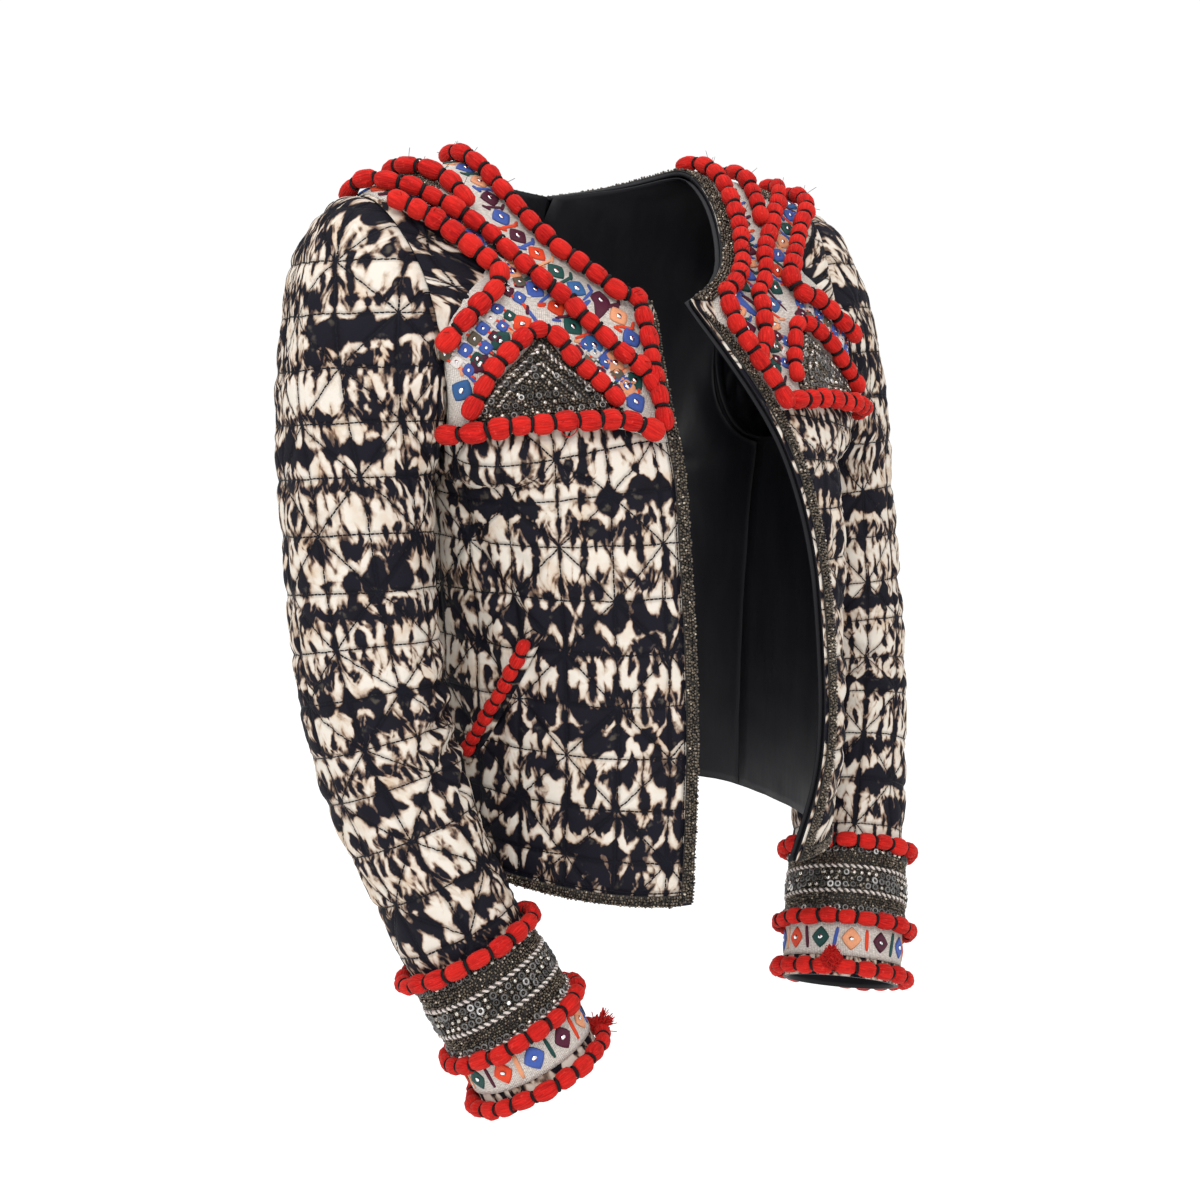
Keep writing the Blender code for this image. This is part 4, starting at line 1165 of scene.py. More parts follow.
def sleeves(looks, inner):
    """The quilted sleeves, from under the body's cloth at the armhole to their ends."""
    for side, puff_seed, soft_seed in (("right", 51, 61), ("left", 57, 67)):
        angle = np.linspace(-180, 180, 121)[:, None] + 0 * SLEEVE_DOWN
        down = SLEEVE_DOWN[None] + 0 * angle
        turn = np.radians(angle)
        base = sleeve_point(side, angle, down)
        normal = sleeve_normal(side, angle, down)
        reach = distances(base)
        reach = reach - reach[60:61]
        # squares down the sleeve, by height over its head and by the table down its arm
        steps = np.array(SLEEVE_ROWS)
        ahead = arm_frame(np.array([ARM_STATIONS[0][2]]))[5][0] * MIRRORED[side]
        rise = np.abs(((base - base[:, HEAD_STEPS : HEAD_STEPS + 1]) * ahead).sum(-1)) * (down < 1)
        row = np.interp(np.clip(down - 1, 0, 1), steps[:, 0], steps[:, 1]) - rise / SLEEVE_ROW_LENGTH
        # squares round it, swung out over the head
        first, pitch, drift = SLEEVE_COLUMNS[side]
        swing = 62 * np.clip(1 - down, 0, 1) ** 1.2 * np.tanh(angle / 12) * np.cos(turn / 2) ** 0.6
        ring = np.clip(angle + swing, -180, 180)
        ring_reach = np.interp(ring.reshape(-1), angle[:, 0], reach[:, HEAD_STEPS]).reshape(ring.shape)
        column = (np.where(down < 1, ring_reach, reach) - (first + drift * (np.maximum(row, 5.44) - 3))) / pitch
        up = up_from_end(down)
        cuff = smooth_step(up, 0.104, 0.118)
        folds = np.zeros_like(down)
        here = np.radians(np.mod(angle, 360)) * CREASE_RADIUS
        for start, finish, depth, width in SLEEVE_CREASES:
            line = [(math.radians(about) * CREASE_RADIUS, metres) for about, metres in (start, finish)]
            folds -= depth * crease(here, up, *line, width)
            higher = [(x, y + width * 1.7) for x, y in line]
            folds += depth * 0.55 * crease(here, up, *higher, width * 1.1)
        gather = np.exp(-(down / 0.16) ** 2) * smooth_step(70 - np.abs(angle), 0, 30)
        folds = folds + 0.0010 * gather * np.sin(turn * 34 + 2 * np.sin(turn * 5))
        soft = 0.0012 * value_noise(reach / 0.028, up / 0.034, soft_seed)
        puff = PUFF * wadding(column, row, puff_seed) * cuff * smooth_step(down, 0.0, 0.10)
        out = -0.0006 + puff + (folds + soft) * cuff * smooth_step(down, 0.0, 0.06)
        points = base + normal * out[..., None]
        # the seam allowance, turned in under the body's cloth
        points[:, 0] -= normal[:, 0] * 0.0036 + np.array(SEAM_ALLOWANCE) * MIRRORED[side]
        points[-1] = points[0]
        made = cloth(
            f"quilted_sleeve_{side}", [(points, np.stack([column, -row], -1))], looks[f"sleeve_{side}"],
            SHELL_THICKNESS, arm_outward(side), [f"sleeve_{side}"], seam=1e-6, inner=inner,
        )


def linings(look):
    """The black lining, a thin loose cloth inside the fronts and the back."""
    across = np.linspace(0, 0.999, 26)[:, None]
    halves = []
    for side in SIDES:
        for part, low, high, rows, seed in (
            ("front", 0, SHOULDER_RUN - 0.0002, 74, 71), ("back", SHOULDER_RUN + 0.0002, BACK_HEM_RUN, 80, 73),
        ):
            run = np.linspace(low, high, rows)[None]
            base = body_point(side, across, run)
            reach = distances(base)
            loose = 0.0010 * np.abs(value_noise(reach / 0.022, run / 0.050 + 0 * reach, seed))
            edge = np.exp(-((reach / 0.004) ** 2)) if part == "front" else 0.0
            out = -0.0052 - loose * (1 - edge) + 0.0006 * edge
            points = base + body_normal(side, across, run) * out[..., None]
            flat = np.stack([reach * 1000, (run + 0 * reach) * 1000], -1)
            if part == "back":
                points[0, int(np.argmax(run[0] >= BACK_NECK_RUN)) :, 0] = 0.0
                halves.append((points, flat))
                continue
            points[0] -= unit(base[1] - base[0]) * LINING_BEYOND[side]
            made = cloth(
                f"lining_of_front_{side}", [(points, flat)], look, LINING_THICKNESS, trunk_outward,
                [f"lining_front_{side}"],
            )
    made = cloth(
        "lining_of_back", halves, look, LINING_THICKNESS, trunk_outward, ["lining_back"], seam=1e-5,
    )


# WOOL ROWS
def lump_shape():
    """A barrel lump of wound wool, its ends along X."""
    work = bmesh.new()
    lying = Matrix.Rotation(math.pi / 2, 4, "Y")
    bmesh.ops.create_uvsphere(work, u_segments=12, v_segments=9, radius=1.0, matrix=lying)
    corners, faces = shape_of(work)
    turn = np.arctan2(corners[:, 2], corners[:, 1])
    t = np.clip(corners[:, 0], -1, 1)
    radius = (1 - np.abs(t) ** 2.7) ** 0.5
    flat = np.stack([np.sign(t) * np.abs(t) ** 0.9, radius * np.cos(turn), radius * np.sin(turn)], -1)
    return flat, faces, np.stack([np.cos(turn), np.sin(turn), t], -1)


def tie_shape():
    """A flat turn of black thread round a neck between lumps, its axis along X."""
    work = bmesh.new()
    place = Matrix.Translation((0, 4.7, 0)) @ Matrix.Diagonal((1.05, 0.55, 1.0, 1.0))
    return spun(work, bmesh.ops.create_circle(work, segments=5, radius=1.0, matrix=place)["verts"], (1, 0, 0), 12)


def lumps_along(at, length, pitch, sizes_from, seed, radius, closed=False):
    """Lumps laid end to end along a line: their centres, reaches and ways out, and the joints between them."""
    count = max(2, int(round(length / pitch)))
    sizes = np.random.default_rng(seed).uniform(*sizes_from, count)
    ends = np.concatenate([[0], np.cumsum(sizes)]) / sizes.sum()
    middle, away = at((ends[1:] + ends[:-1]) / 2)
    joint, joint_away = at(ends[1:] if closed else ends[1:-1])
    joint_ahead = unit((np.roll(middle, -1, 0) - middle)[: len(joint)])
    return middle, at(ends[1:])[0] - at(ends[:-1])[0], away, joint, joint_ahead, joint_away, radius


def row_curve(side, places):
    """A smooth line through places (across, run) on the body, by its share of the way."""
    places = np.asarray(places, float)
    return natural_spline(along(body_point(side, places[:, 0], places[:, 1])), places)


def wool_line(side, places, radius, base, pitch, seed):
    """The lumps of one row on the body."""
    curve = row_curve(side, places)
    fine = np.linspace(0, 1, 300)
    rows = body_point(side, *curve(fine).T)
    share = along(rows)

    def at(s):
        spot = curve(np.interp(np.clip(s, 0, 1), share, fine)).T
        away = body_normal(side, *spot)
        return body_point(side, *spot) + away * (base + radius), away

    return lumps_along(at, distances(rows)[-1] + 2 * radius * 0.6, pitch, (0.86, 1.16), seed, radius)


def pocket_line(low, high, count):
    """Places along the pocket, its ends being 0 and 1."""
    ends = np.array(POCKET)
    return ends[0] + (ends[1] - ends[0]) * np.linspace(low, high, count)[:, None]


def neck_row_places(side):
    """The wool row that follows the front edge of the yoke and then the neckline."""
    lower = np.linspace(YOKE_FOOT_RUN + 0.001, NECK_CORNER_RUN - 0.022, 5)
    upper = np.linspace(NECK_CORNER_RUN + 0.016, YOKE_END_RUN - 0.007, 7)
    return np.stack(inset(side, np.concatenate([lower, upper]), NECK_ROW_INSET[side]), -1)


def wool_piece(name, lines, look, thread_look, nodes, seed):
    """The lumps and ties of one or more rows, as a wool mesh and a thread mesh."""
    shape, faces, strand = lump_shape()
    tie, tie_faces = tie_shape()
    draw = np.random.default_rng(seed)
    lumps, ties, tones, lays = [], [], [], []
    for middle, reach, away, joint, joint_ahead, joint_away, radius in lines:
        half = np.linalg.norm(reach, axis=1) / 2
        ahead = unit(reach)
        away = unit(away - ahead * (away * ahead).sum(1, keepdims=True))
        beside = np.cross(away, ahead)
        count = len(middle)
        plump = draw.uniform(0.92, 1.13, (count, 2))
        size = np.stack([half * 1.06, radius * 1.10 * plump[:, 0], radius * 1.02 * plump[:, 1]], -1)
        sway = beside * draw.normal(0, 0.00045, (count, 1)) + away * draw.normal(0, 0.0003, (count, 1))
        corners = placed(shape, middle + sway, ahead, beside, away, size)
        uneven = value_noise(corners[..., 0] / 0.0045, corners[..., 1] / 0.0045 + corners[..., 2] / 0.004, seed)
        corners = corners + (corners - middle[:, None]) * (uneven * 0.045)[..., None]
        lumps.append(corners)
        tones.append(np.repeat(draw.uniform(0, 1, count), len(shape)))
        lays.append(np.tile(strand, (count, 1)))
        flank = unit(np.cross(joint_away, joint_ahead))
        up = unit(np.cross(joint_ahead, flank))
        spin = draw.uniform(-0.25, 0.25, (len(joint), 1))
        tilted = unit(joint_ahead + flank * spin)
        flank = unit(np.cross(up, tilted))
        scale = radius * 0.170 * draw.uniform(0.92, 1.08, (len(joint), 1))
        ties.append(placed(tie, joint, tilted, flank, up, scale * (1.1, 1.0, 1.0)))
    repeated(
        name, [(np.concatenate(lumps), faces)], look, nodes,
        tone=np.concatenate(tones), strand=np.concatenate(lays),
    )
    repeated(name + "_ties", [(np.concatenate(ties), tie_faces)], thread_look)


def cuff_line(side, metres, out, radius, pitch, seed):
    """The lumps of one ring round a sleeve."""
    down = float(down_at(metres))
    angle = np.linspace(0, 360, 361)
    ring = sleeve_point(side, angle, down)
    share = along(ring)

    def at(s):
        turn = np.interp(np.mod(s, 1), share, angle)
        away = sleeve_normal(side, turn, down)
        return sleeve_point(side, turn, down) + away * out, away

    return lumps_along(at, distances(ring)[-1] * 1.06, pitch, (0.88, 1.14), seed, radius, closed=True)


def wool(look, thread_look):
    """The bound wool of the yokes, the pockets and the cuffs."""
    names = ("neck", *WOOL_ROWS["right"])
    for index, side in enumerate(SIDES):
        rows = [neck_row_places(side), *WOOL_ROWS[side].values()]
        lines = []
        for k, (name, row) in enumerate(zip(names, rows)):
            pitch = 0.0138 if name == "peak" else 0.0152
            lines.append(wool_line(side, row, WOOL_RADIUS[name], YOKE_TOP - 0.0008, pitch, 100 + 10 * index + k))
        nodes = [f"wool_{name}_{side}" for name in names]
        wool_piece(f"wool_of_yoke_{side}", lines, look, thread_look, nodes, 130 + index)
        row = pocket_line(0.04, 0.96, 5)
        line = wool_line(side, row, POCKET_WOOL_RADIUS, 0.0022, 0.0112, 140 + index)
        nodes = [f"wool_pocket_{side}"]
        wool_piece(f"wool_of_pocket_{side}", [line], look, thread_look, nodes, 150 + index)
        lines = []
        for k, (name, metres) in enumerate(CUFF_RINGS.items()):
            out = CUFF_WOOL_RADIUS + (0.0004 if name == "lower" else 0.0014)
            lines.append(cuff_line(side, metres, out, CUFF_WOOL_RADIUS, 0.0143, 160 + 5 * index + k))
        nodes = [f"wool_cuff_{name}_{side}" for name in CUFF_RINGS]
        wool_piece(f"wool_of_cuff_{side}", lines, look, thread_look, nodes, 170 + index)


# BEADS, BANDS AND EMBROIDERY
def bead_shape():
    """A tiny bead of few faces."""
    work = bmesh.new()
    bmesh.ops.create_icosphere(work, subdivisions=1, radius=1.0)
    return shape_of(work)


def ring_shape():
    """A small metal ring lying flat, one unit across its middle line."""
    work = bmesh.new()
    place = Matrix.Translation((1.0, 0, 0)) @ Matrix.Rotation(math.pi / 2, 4, "X")
    return spun(work, bmesh.ops.create_circle(work, segments=4, radius=0.52, matrix=place)["verts"], (0, 0, 1), 10)


def crystal_shape():
    """A round cut stone with a flat top, one unit across its girdle."""
    work = bmesh.new()
    seat = Matrix.Translation((0, 0, 0.31))
    bmesh.ops.create_cone(work, cap_ends=True, segments=8, radius1=1.0, radius2=0.52, depth=0.62, matrix=seat)
    return shape_of(work)


def diamond_shape():
    """A satin-stitched diamond, raised, with a well in its middle for the mirror."""
    work = bmesh.new()
    seat = Matrix.Translation((0, 0, 0.5))
    bmesh.ops.create_cone(work, cap_ends=True, segments=16, radius1=1.0, radius2=0.90, depth=1.0, matrix=seat)
    top = [face for face in work.faces if face.normal.z > 0.9]
    bmesh.ops.inset_individual(work, faces=top, thickness=0.30, depth=0.35)
    bmesh.ops.inset_individual(work, faces=top, thickness=0.26, depth=-0.55)
    for vert in work.verts:
        radius = vert.co.xy.length
        if radius > 1e-6:
            turn = math.atan2(vert.co.y, vert.co.x)
            stretch = (abs(math.cos(turn)) ** 1.22 + abs(math.sin(turn)) ** 1.22) ** (-1 / 1.22)
            vert.co.x *= stretch
            vert.co.y *= stretch
    return shape_of(work)


def bar_shape():
    """A flat stitched bar with softened edges."""
    work = bmesh.new()
    bmesh.ops.create_cube(work, size=2.0)
    bmesh.ops.bevel(
        work, geom=work.edges[:], offset=0.42, offset_type="OFFSET", affect="EDGES", segments=1, profile=0.5,
        material=-1,
    )
    return shape_of(work)


def mirror_shape():
    """A small round mirror."""
    work = bmesh.new()
    seat = Matrix.Translation((0, 0, 0.25))
    bmesh.ops.create_cone(work, cap_ends=True, segments=8, radius1=1.0, radius2=0.8, depth=0.5, matrix=seat)
    return shape_of(work)


def evenly(points, aways, pitch, shift=0.5):
    """Places at even distances along a line, with the ways out and ahead."""
    length = distances(points)
    count = max(2, int(round(length[-1] / pitch)))
    at = (np.arange(count) + shift) * length[-1] / count
    middle = between(at, length, points)
    return middle, unit(between(at, length, aways)), unit(np.gradient(middle, axis=0))


def scattered(shape, middle, away, ahead, radius, draw, spread=0.00038):
    """Beads at the places, each with its own size, turn and tone."""
    count = len(middle)
    first = unit(ahead + draw.normal(0, 0.45, (count, 3)))
    second = unit(np.cross(away, first))
    third = np.cross(first, second)
    beside = np.cross(away, ahead)
    middle = middle + beside * draw.normal(0, spread, (count, 1)) + ahead * draw.normal(0, spread, (count, 1))
    middle = middle + away * draw.uniform(0.45, 0.95, (count, 1)) * radius
    size = radius * draw.uniform(0.84, 1.13, (count, 1)) * np.array((0.86, 1.06, 1.06))
    return placed(shape, middle, first, second, third, size), np.repeat(draw.uniform(0, 1, count), len(shape))


def bead_rows(name, lines, look, nodes, seed, radius=0.00108, pitch=0.00212):
    """Rows of seed beads along lines of (points, aways)."""
    shape, faces = bead_shape()
    draw = np.random.default_rng(seed)
    corners, tones = [], []
    for points, aways in lines:
        middle, away, ahead = evenly(points, aways, pitch * draw.uniform(0.96, 1.04))
        made, tone = scattered(shape, middle, away, ahead, radius, draw)
        corners.append(made)
        tones.append(tone)
    return repeated(name, [(np.concatenate(corners), faces)], look, nodes, tone=np.concatenate(tones))


def netting(name, points, look, outward, seam=None):
    """The dark strip that the beads are sewn to."""
    flat = np.zeros(points.shape[:2] + (2,))
    return cloth(name, [(points, flat)], look, 0.0009, outward, seam=seam)


def body_line(side, across, run, out):
    """Points just off the body, with their ways out."""
    return patch(side, across, run, out), body_normal(side, across, run)


def edge_bands(bead_look, ground):
    """Seed beads along the front edges, the neckline and the hem, sewn row by row to a dark strip."""
    def band(name, span, rows, line_at, nodes, seed):
        widths = np.linspace(span[0] + 0.0008, span[1] - 0.0008, rows)
        bead_rows(f"{name}_beads", [line_at(wide, 0.0006) for wide in widths], bead_look, nodes, seed)
        strip = np.array([line_at(wide, 0.0005)[0] for wide in (span[0], sum(span) / 2, span[1])])
        netting(f"{name}_netting", strip, ground, trunk_outward)

    for side in SIDES:
        def front(wide, out):
            runs = np.linspace(0.002, NECK_CORNER_RUN - 0.001 - wide * 0.9, 130)
            return body_line(side, *inset(side, runs, wide), out)

        def neck(wide, out):
            runs = np.linspace(NECK_CORNER_RUN + 0.001 + wide * 0.9, BACK_NECK_RUN - 0.0005, 80)
            return body_line(side, *inset(side, runs, wide), out)

        def hem(wide, out):
            start = inset(side, np.array([0.006]), EDGE_BAND[side][1] + 0.0006)[0][0]
            across = np.linspace(start, 0.998, 90)
            return body_line(side, across, wide + 0 * across, out)

        def back_hem(wide, out):
            across = np.linspace(0.0, 0.998, 90)
            return body_line(side, across, BACK_HEM_RUN - wide + 0 * across, out)

        band(f"edge_{side}", EDGE_BAND[side], 5, front, [f"bead_edge_{side}"], 201)
        band(f"neck_{side}", NECK_BAND, 5, neck, ["bead_neck"] if side == "right" else [], 211)
        band(f"hem_{side}", HEM_BAND, 4, hem, [f"bead_hem_{side}"], 207)
        band(f"back_hem_{side}", HEM_BAND, 4, back_hem, ["bead_hem_back"] if side == "right" else [], 213)


def cuff_ring(side, metres, out):
    """A closed line round a sleeve, metres up from its end."""
    angle = np.linspace(0, 360, 181)
    down = float(down_at(metres)) + 0 * angle
    away = sleeve_normal(side, angle, down)
    return sleeve_point(side, angle, down) + away * out, away


def twisted(points, aways, radius, pitch):
    """The two yarns of a twisted cord along a line."""
    length = distances(points)
    at = np.linspace(0, length[-1], int(length[-1] / pitch * 7))
    middle = between(at, length, points)
    away = unit(between(at, length, aways))
    beside = unit(np.cross(away, np.gradient(middle, axis=0)))
    turn = (2 * math.pi * at / pitch)[:, None]
    swing = away * np.sin(turn) + beside * np.cos(turn)
    return middle + swing * radius, middle - swing * radius


def two_yarns(name, cords, radii, looks):
    """The light yarns of twisted cords as one mesh, and the dark ones as another."""
    for k, shade in enumerate(("light", "dark")):
        yarns = [cord[k] for cord in cords]
        strands(name.format(shade), yarns, radii[k], looks["cord_" + shade])


def trinkets(name, places, looks, seed, size=0.0029, crystals=0.34):
    """Metal rings and cut stones sewn at places (middle, away, ahead)."""
    middle, away, ahead = (np.concatenate([row[k] for row in places]) for k in range(3))
    draw = np.random.default_rng(seed)
    count = len(middle)
    stone = draw.random(count) < crystals
    lean = unit(away + draw.normal(0, 0.14, (count, 3)))
    first = unit(ahead - lean * (ahead * lean).sum(1, keepdims=True))
    second = np.cross(lean, first)
    scale = size * draw.uniform(0.88, 1.12, (count, 1))
    for part, (shape, faces), chosen, rise, measure, look in (
        ("rings", ring_shape(), ~stone, 0.0006, (0.66, 0.66, 0.66), "rings"),
        ("stones", crystal_shape(), stone, 0.0, (0.70, 0.70, 0.85), "stones"),
        ("hearts", bead_shape(), ~stone, 0.0007, (0.32, 0.32, 0.32), "beads"),
    ):
        out = lean[chosen]
        made = placed(shape, middle[chosen] + out * rise, first[chosen], second[chosen], out, scale[chosen] * measure)
        copies = len(made)
        tone = np.full(copies, 0.2) if part == "hearts" else draw.uniform(0, 1, copies)
        repeated(
            f"{name}_{part}", [(made, faces)], looks[look], tone=np.repeat(tone, len(shape)),
            smooth=part != "stones",
        )


def cuffs(looks):
    """The beaded and embroidered bands of both cuffs."""
    for index, side in enumerate(SIDES):
        outward = arm_outward(side)
        marks = np.linspace(*CUFF_BEADS, 8)
        ground = np.array([cuff_ring(side, metres, 0.0010)[0] for metres in marks]).transpose(1, 0, 2)
        ground[-1] = ground[0]
        netting(f"cuff_netting_{side}", ground, looks["ground"], outward, seam=1e-6)
        rows = np.concatenate([np.linspace(*span) for span in CUFF_BEAD_ROWS])
        lines = [cuff_ring(side, metres, 0.0012) for metres in rows]
        nodes = [f"cuff_beads_{side}"]
        bead_rows(f"cuff_seed_beads_{side}", lines, looks["beads"], nodes, 221 + index, 0.00102, 0.00200)
        cords = [twisted(*cuff_ring(side, metres, 0.0026), 0.00075, 0.0050) for metres in CUFF_CORDS]
        two_yarns(f"cuff_cord_{{}}_{side}", cords, (0.00105, 0.00080), looks)
        places = [evenly(*cuff_ring(side, metres, 0.0026), pitch, shift) for metres, pitch, shift in CUFF_TRINKETS]
        trinkets(f"cuff_{side}", places, looks, 231 + index)
        marks = np.linspace(*CUFF_EMBROIDERY, 9)
        base = np.array([cuff_ring(side, metres, 0.0008)[0] for metres in marks]).transpose(1, 0, 2)
        base[-1] = base[0]
        round_it, up_it = np.linspace(0, 290, base.shape[0]), np.linspace(0, 26, base.shape[1])
        flat = np.stack(np.meshgrid(round_it, up_it, indexing="ij"), -1)
        made = cloth(
            f"cuff_band_{side}", [(base, flat)], looks["yoke"], 0.0010, outward,
            [f"cuff_embroidery_{side}"], seam=1e-6,
        )
        count = 12
        points, aways = cuff_ring(side, sum(CUFF_EMBROIDERY) / 2 - 0.0005, 0.0008)
        middle, away, ahead = evenly(points, aways, distances(points)[-1] / (2 * count), 0.25)
        along_arm = np.cross(away, ahead)
        names = DIAMOND_ORDER["cuff"]
        diamonds, bars = ([rows[start::2] for rows in (middle, ahead, along_arm, away)] for start in (0, 1))
        stitched(
            f"cuff_{side}", diamonds, [names[i % 5] for i in range(count)], (0.0075, 0.0086),
            bars, [names[(i + 3) % 5] for i in range(count)], (0.0015, 0.0086), looks, 241 + index,
        )


def stitched(name, places, dyes, half, bar_places, bar_dyes, bar_half, looks, seed, mould=None):
    """Raised diamonds with their mirrors, and the bars between them.

    Places are (middle, ahead, beside, away), and halves (ahead, beside) in metres.
    mould lays finished corners on the surface again, where it is bent."""
    middle, ahead, beside, away = places
    bar_middle, bar_ahead, bar_beside, bar_away = bar_places
    draw = np.random.default_rng(seed)
    shape, faces = diamond_shape()
    count = len(middle)
    size = np.array((*half, DIAMOND_HEIGHT)) * draw.uniform(0.93, 1.07, (count, 1))
    corners = placed(shape, middle, ahead, beside, away, size)
    if mould:
        corners = mould(corners, middle, away, shape[:, 2] * DIAMOND_HEIGHT)
    colour = np.repeat(np.array([THREADS[dye] for dye in dyes]), len(shape), 0)
    colour = colour * np.repeat(draw.uniform(0.85, 1.1, (count, 1)), len(shape), 0)
    lay = np.tile(shape * (half[0] * 1000 / 2.2, half[1] * 1000 / 2.2, 1), (count, 1))
    bar, bar_faces = bar_shape()
    bars = len(bar_middle)
    tilt = draw.normal(0, 0.10, (bars, 1))
    leaning = unit(bar_beside + bar_ahead * tilt)
    wide = np.cross(leaning, bar_away)
    bar_half = np.broadcast_to(bar_half, (bars, 2))
    size = np.column_stack([bar_half, np.full(bars, BAR_HEIGHT)]) * draw.uniform(0.88, 1.08, (bars, 1))
    bar_corners = placed(bar, bar_middle + bar_away * 0.0002, wide, leaning, bar_away, size)
    if mould:
        bar_corners = mould(bar_corners, bar_middle, bar_away, bar[:, 2] * BAR_HEIGHT + 0.0002)
    bar_colour = np.repeat(np.array([THREADS[dye] for dye in bar_dyes]), len(bar), 0)
    bar_lay = np.tile(bar[:, [1, 0, 2]] * (bar_half[0, 1] * 1000 / 2.2, 0.6, 1), (bars, 1))
    repeated(
        name + "_stitches", [(corners, faces), (bar_corners, bar_faces)], looks["silk"],
        colour=np.concatenate([colour, bar_colour]), strand=np.concatenate([lay, bar_lay]),
    )
    glass, glass_faces = mirror_shape()
    lean = unit(away + draw.normal(0, 0.10, (count, 3)))
    first = unit(ahead - lean * (ahead * lean).sum(1, keepdims=True))
    size = np.full((count, 1), min(half) * 0.27) * (1.1, 0.9, 0.6)
    made = placed(glass, middle + away * 0.0008, first, np.cross(lean, first), lean, size)
    repeated(name + "_mirrors", [(made, glass_faces)], looks["mirror"], smooth=False)


YOKE_OUT = 0.0016
SPOTS = {}  # across and run of each place that band_places has given


def moulded(side, out):
    """Lays flat corners on the body: what lies along and beside a place follows the surface."""
    def lay(corners, middle, away, heights):
        spots = np.array([SPOTS[tuple(np.round(point, 7))] for point in middle])
        across, run = spots[:, 0], spots[:, 1]
        step = 1e-3
        here = body_point(side, across, run)
        sideways = ((body_point(side, across + step, run) - here) / step)[:, None]
        upward = ((body_point(side, across, run + step) - here) / step)[:, None]
        offset = corners - middle[:, None]
        offset = offset - away[:, None] * (offset * away[:, None]).sum(-1, keepdims=True)
        aa, bb, ab = (sideways**2).sum(-1), (upward**2).sum(-1), (sideways * upward).sum(-1)
        am, bm = (sideways * offset).sum(-1), (upward * offset).sum(-1)
        spread = aa * bb - ab**2
        a = np.clip(across[:, None] + (am * bb - bm * ab) / spread, 0, 1)
        r = np.clip(run[:, None] + (bm * aa - am * ab) / spread, 0.001, BACK_HEM_RUN - 0.001)
        return patch(side, a, r, heights[None] + out + 0 * a)

    return lay


def band_places(side, line, pitch, out, shift=0.5, beside_by=0.0):
    """Places along a line of (across, run) on the body: middle, ahead, beside and away."""
    curve = row_curve(side, line)
    fine = np.linspace(0, 1, 200)
    points = body_point(side, *curve(fine).T)
    length = distances(points)
    count = max(2, int(round(length[-1] / pitch)))
    at = (np.arange(count) + shift) * length[-1] / count
    spots = curve(np.interp(at, length, fine))
    away = body_normal(side, spots[:, 0], spots[:, 1])
    ahead = unit(between(at + 0.002, length, points) - between(at - 0.002, length, points))
    beside = np.cross(away, ahead)
    if beside_by:
        start = body_point(side, spots[:, 0], spots[:, 1]) + beside * beside_by
        spots = np.stack(settle(side, start, spots[:, 0], spots[:, 1]), -1)
        away = body_normal(side, spots[:, 0], spots[:, 1])
        beside = unit(np.cross(away, ahead))
    middle = patch(side, spots[:, 0], spots[:, 1], out)
    for point, spot in zip(middle, spots):
        SPOTS[tuple(np.round(point, 7))] = spot
    return middle, ahead, beside, away


def yoke_ground(side, look):
    """The white cloth of a yoke."""
    lower = np.linspace(YOKE_FOOT_RUN, NECK_CORNER_RUN - YOKE_INSET * 1.25, 26)
    upper = np.linspace(NECK_CORNER_RUN + YOKE_INSET, YOKE_END_RUN, 34)
    inner = np.stack(inset(side, np.concatenate([lower, upper]), YOKE_INSET), -1)
    inner[0, 1], inner[-1, 1] = YOKE_FOOT_RUN, YOKE_END_RUN
    edge = np.array(YOKE_OUTER_EDGE)
    runs = inner[:, 1]
    outer = np.stack([np.interp(runs, edge[:, 1], edge[:, 0]), runs], -1)
    share = np.linspace(0, 1, 45)
    places = inner[:, None] + (outer - inner)[:, None] * share[:, None]
    foot = yoke_foot(side, places[..., 0])
    whole = YOKE_END_RUN - YOKE_FOOT_RUN
    places[..., 1] = foot + (places[..., 1] - YOKE_FOOT_RUN) * (YOKE_END_RUN - foot) / whole
    ramp = np.minimum(smooth_step(share, 0, 0.07), smooth_step(1 - share, 0, 0.07))[None]
    ends = np.minimum(smooth_step(runs - YOKE_FOOT_RUN, 0, 0.005), smooth_step(YOKE_END_RUN - runs, 0, 0.005))
    out = 0.0002 + (YOKE_OUT - 0.0002) * ramp * ends[:, None]
    points = patch(side, places[..., 0], places[..., 1], out)
    reach = distances(points.transpose(1, 0, 2)).T
    flat = np.stack([reach * 1000, (runs * 1000)[:, None] + 0 * reach], -1)
    made = cloth(
        f"yoke_cloth_{side}", [(points, flat)], look, 0.0011, trunk_outward, [f"yoke_{side}"],
    )


def yoke_band(side, name, line, looks, seed):
    """One line of coloured diamonds on a yoke, with a long bar and two short slanted ones between each two."""
    dyes = DIAMOND_ORDER[name]
    shift, turn = (0.5, 0) if side == "right" else (0.3, 2)
    pitch, half = (0.0155, 0.0066) if name == "neck" and side == "left" else (0.0190, 0.0081)
    places = band_places(side, line, pitch, YOKE_OUT, shift)
    bars, reaches = [], []
    for by, slant, reach in ((0.0, 0.15, 0.0074), (-0.0066, 0.9, 0.0036), (0.0066, -0.9, 0.0036)):
        middle, ahead, beside, away = band_places(side, line, pitch, YOKE_OUT, (shift + 0.5) % 1.0, by)
        bars.append((middle, unit(ahead - beside * slant), unit(beside + ahead * slant), away))
        reaches.append(np.tile((0.0012, reach), (len(middle), 1)))
    bars = [np.concatenate(rows) for rows in zip(*bars)]
    stitched(
        f"yoke_{name}_{side}", places, [dyes[(i + turn) % len(dyes)] for i in range(len(places[0]))],
        (half, 0.0078), bars, [BAR_ORDER[(i + turn) % len(BAR_ORDER)] for i in range(len(bars[0]))],
        np.concatenate(reaches), looks, seed, mould=moulded(side, YOKE_OUT),
    )


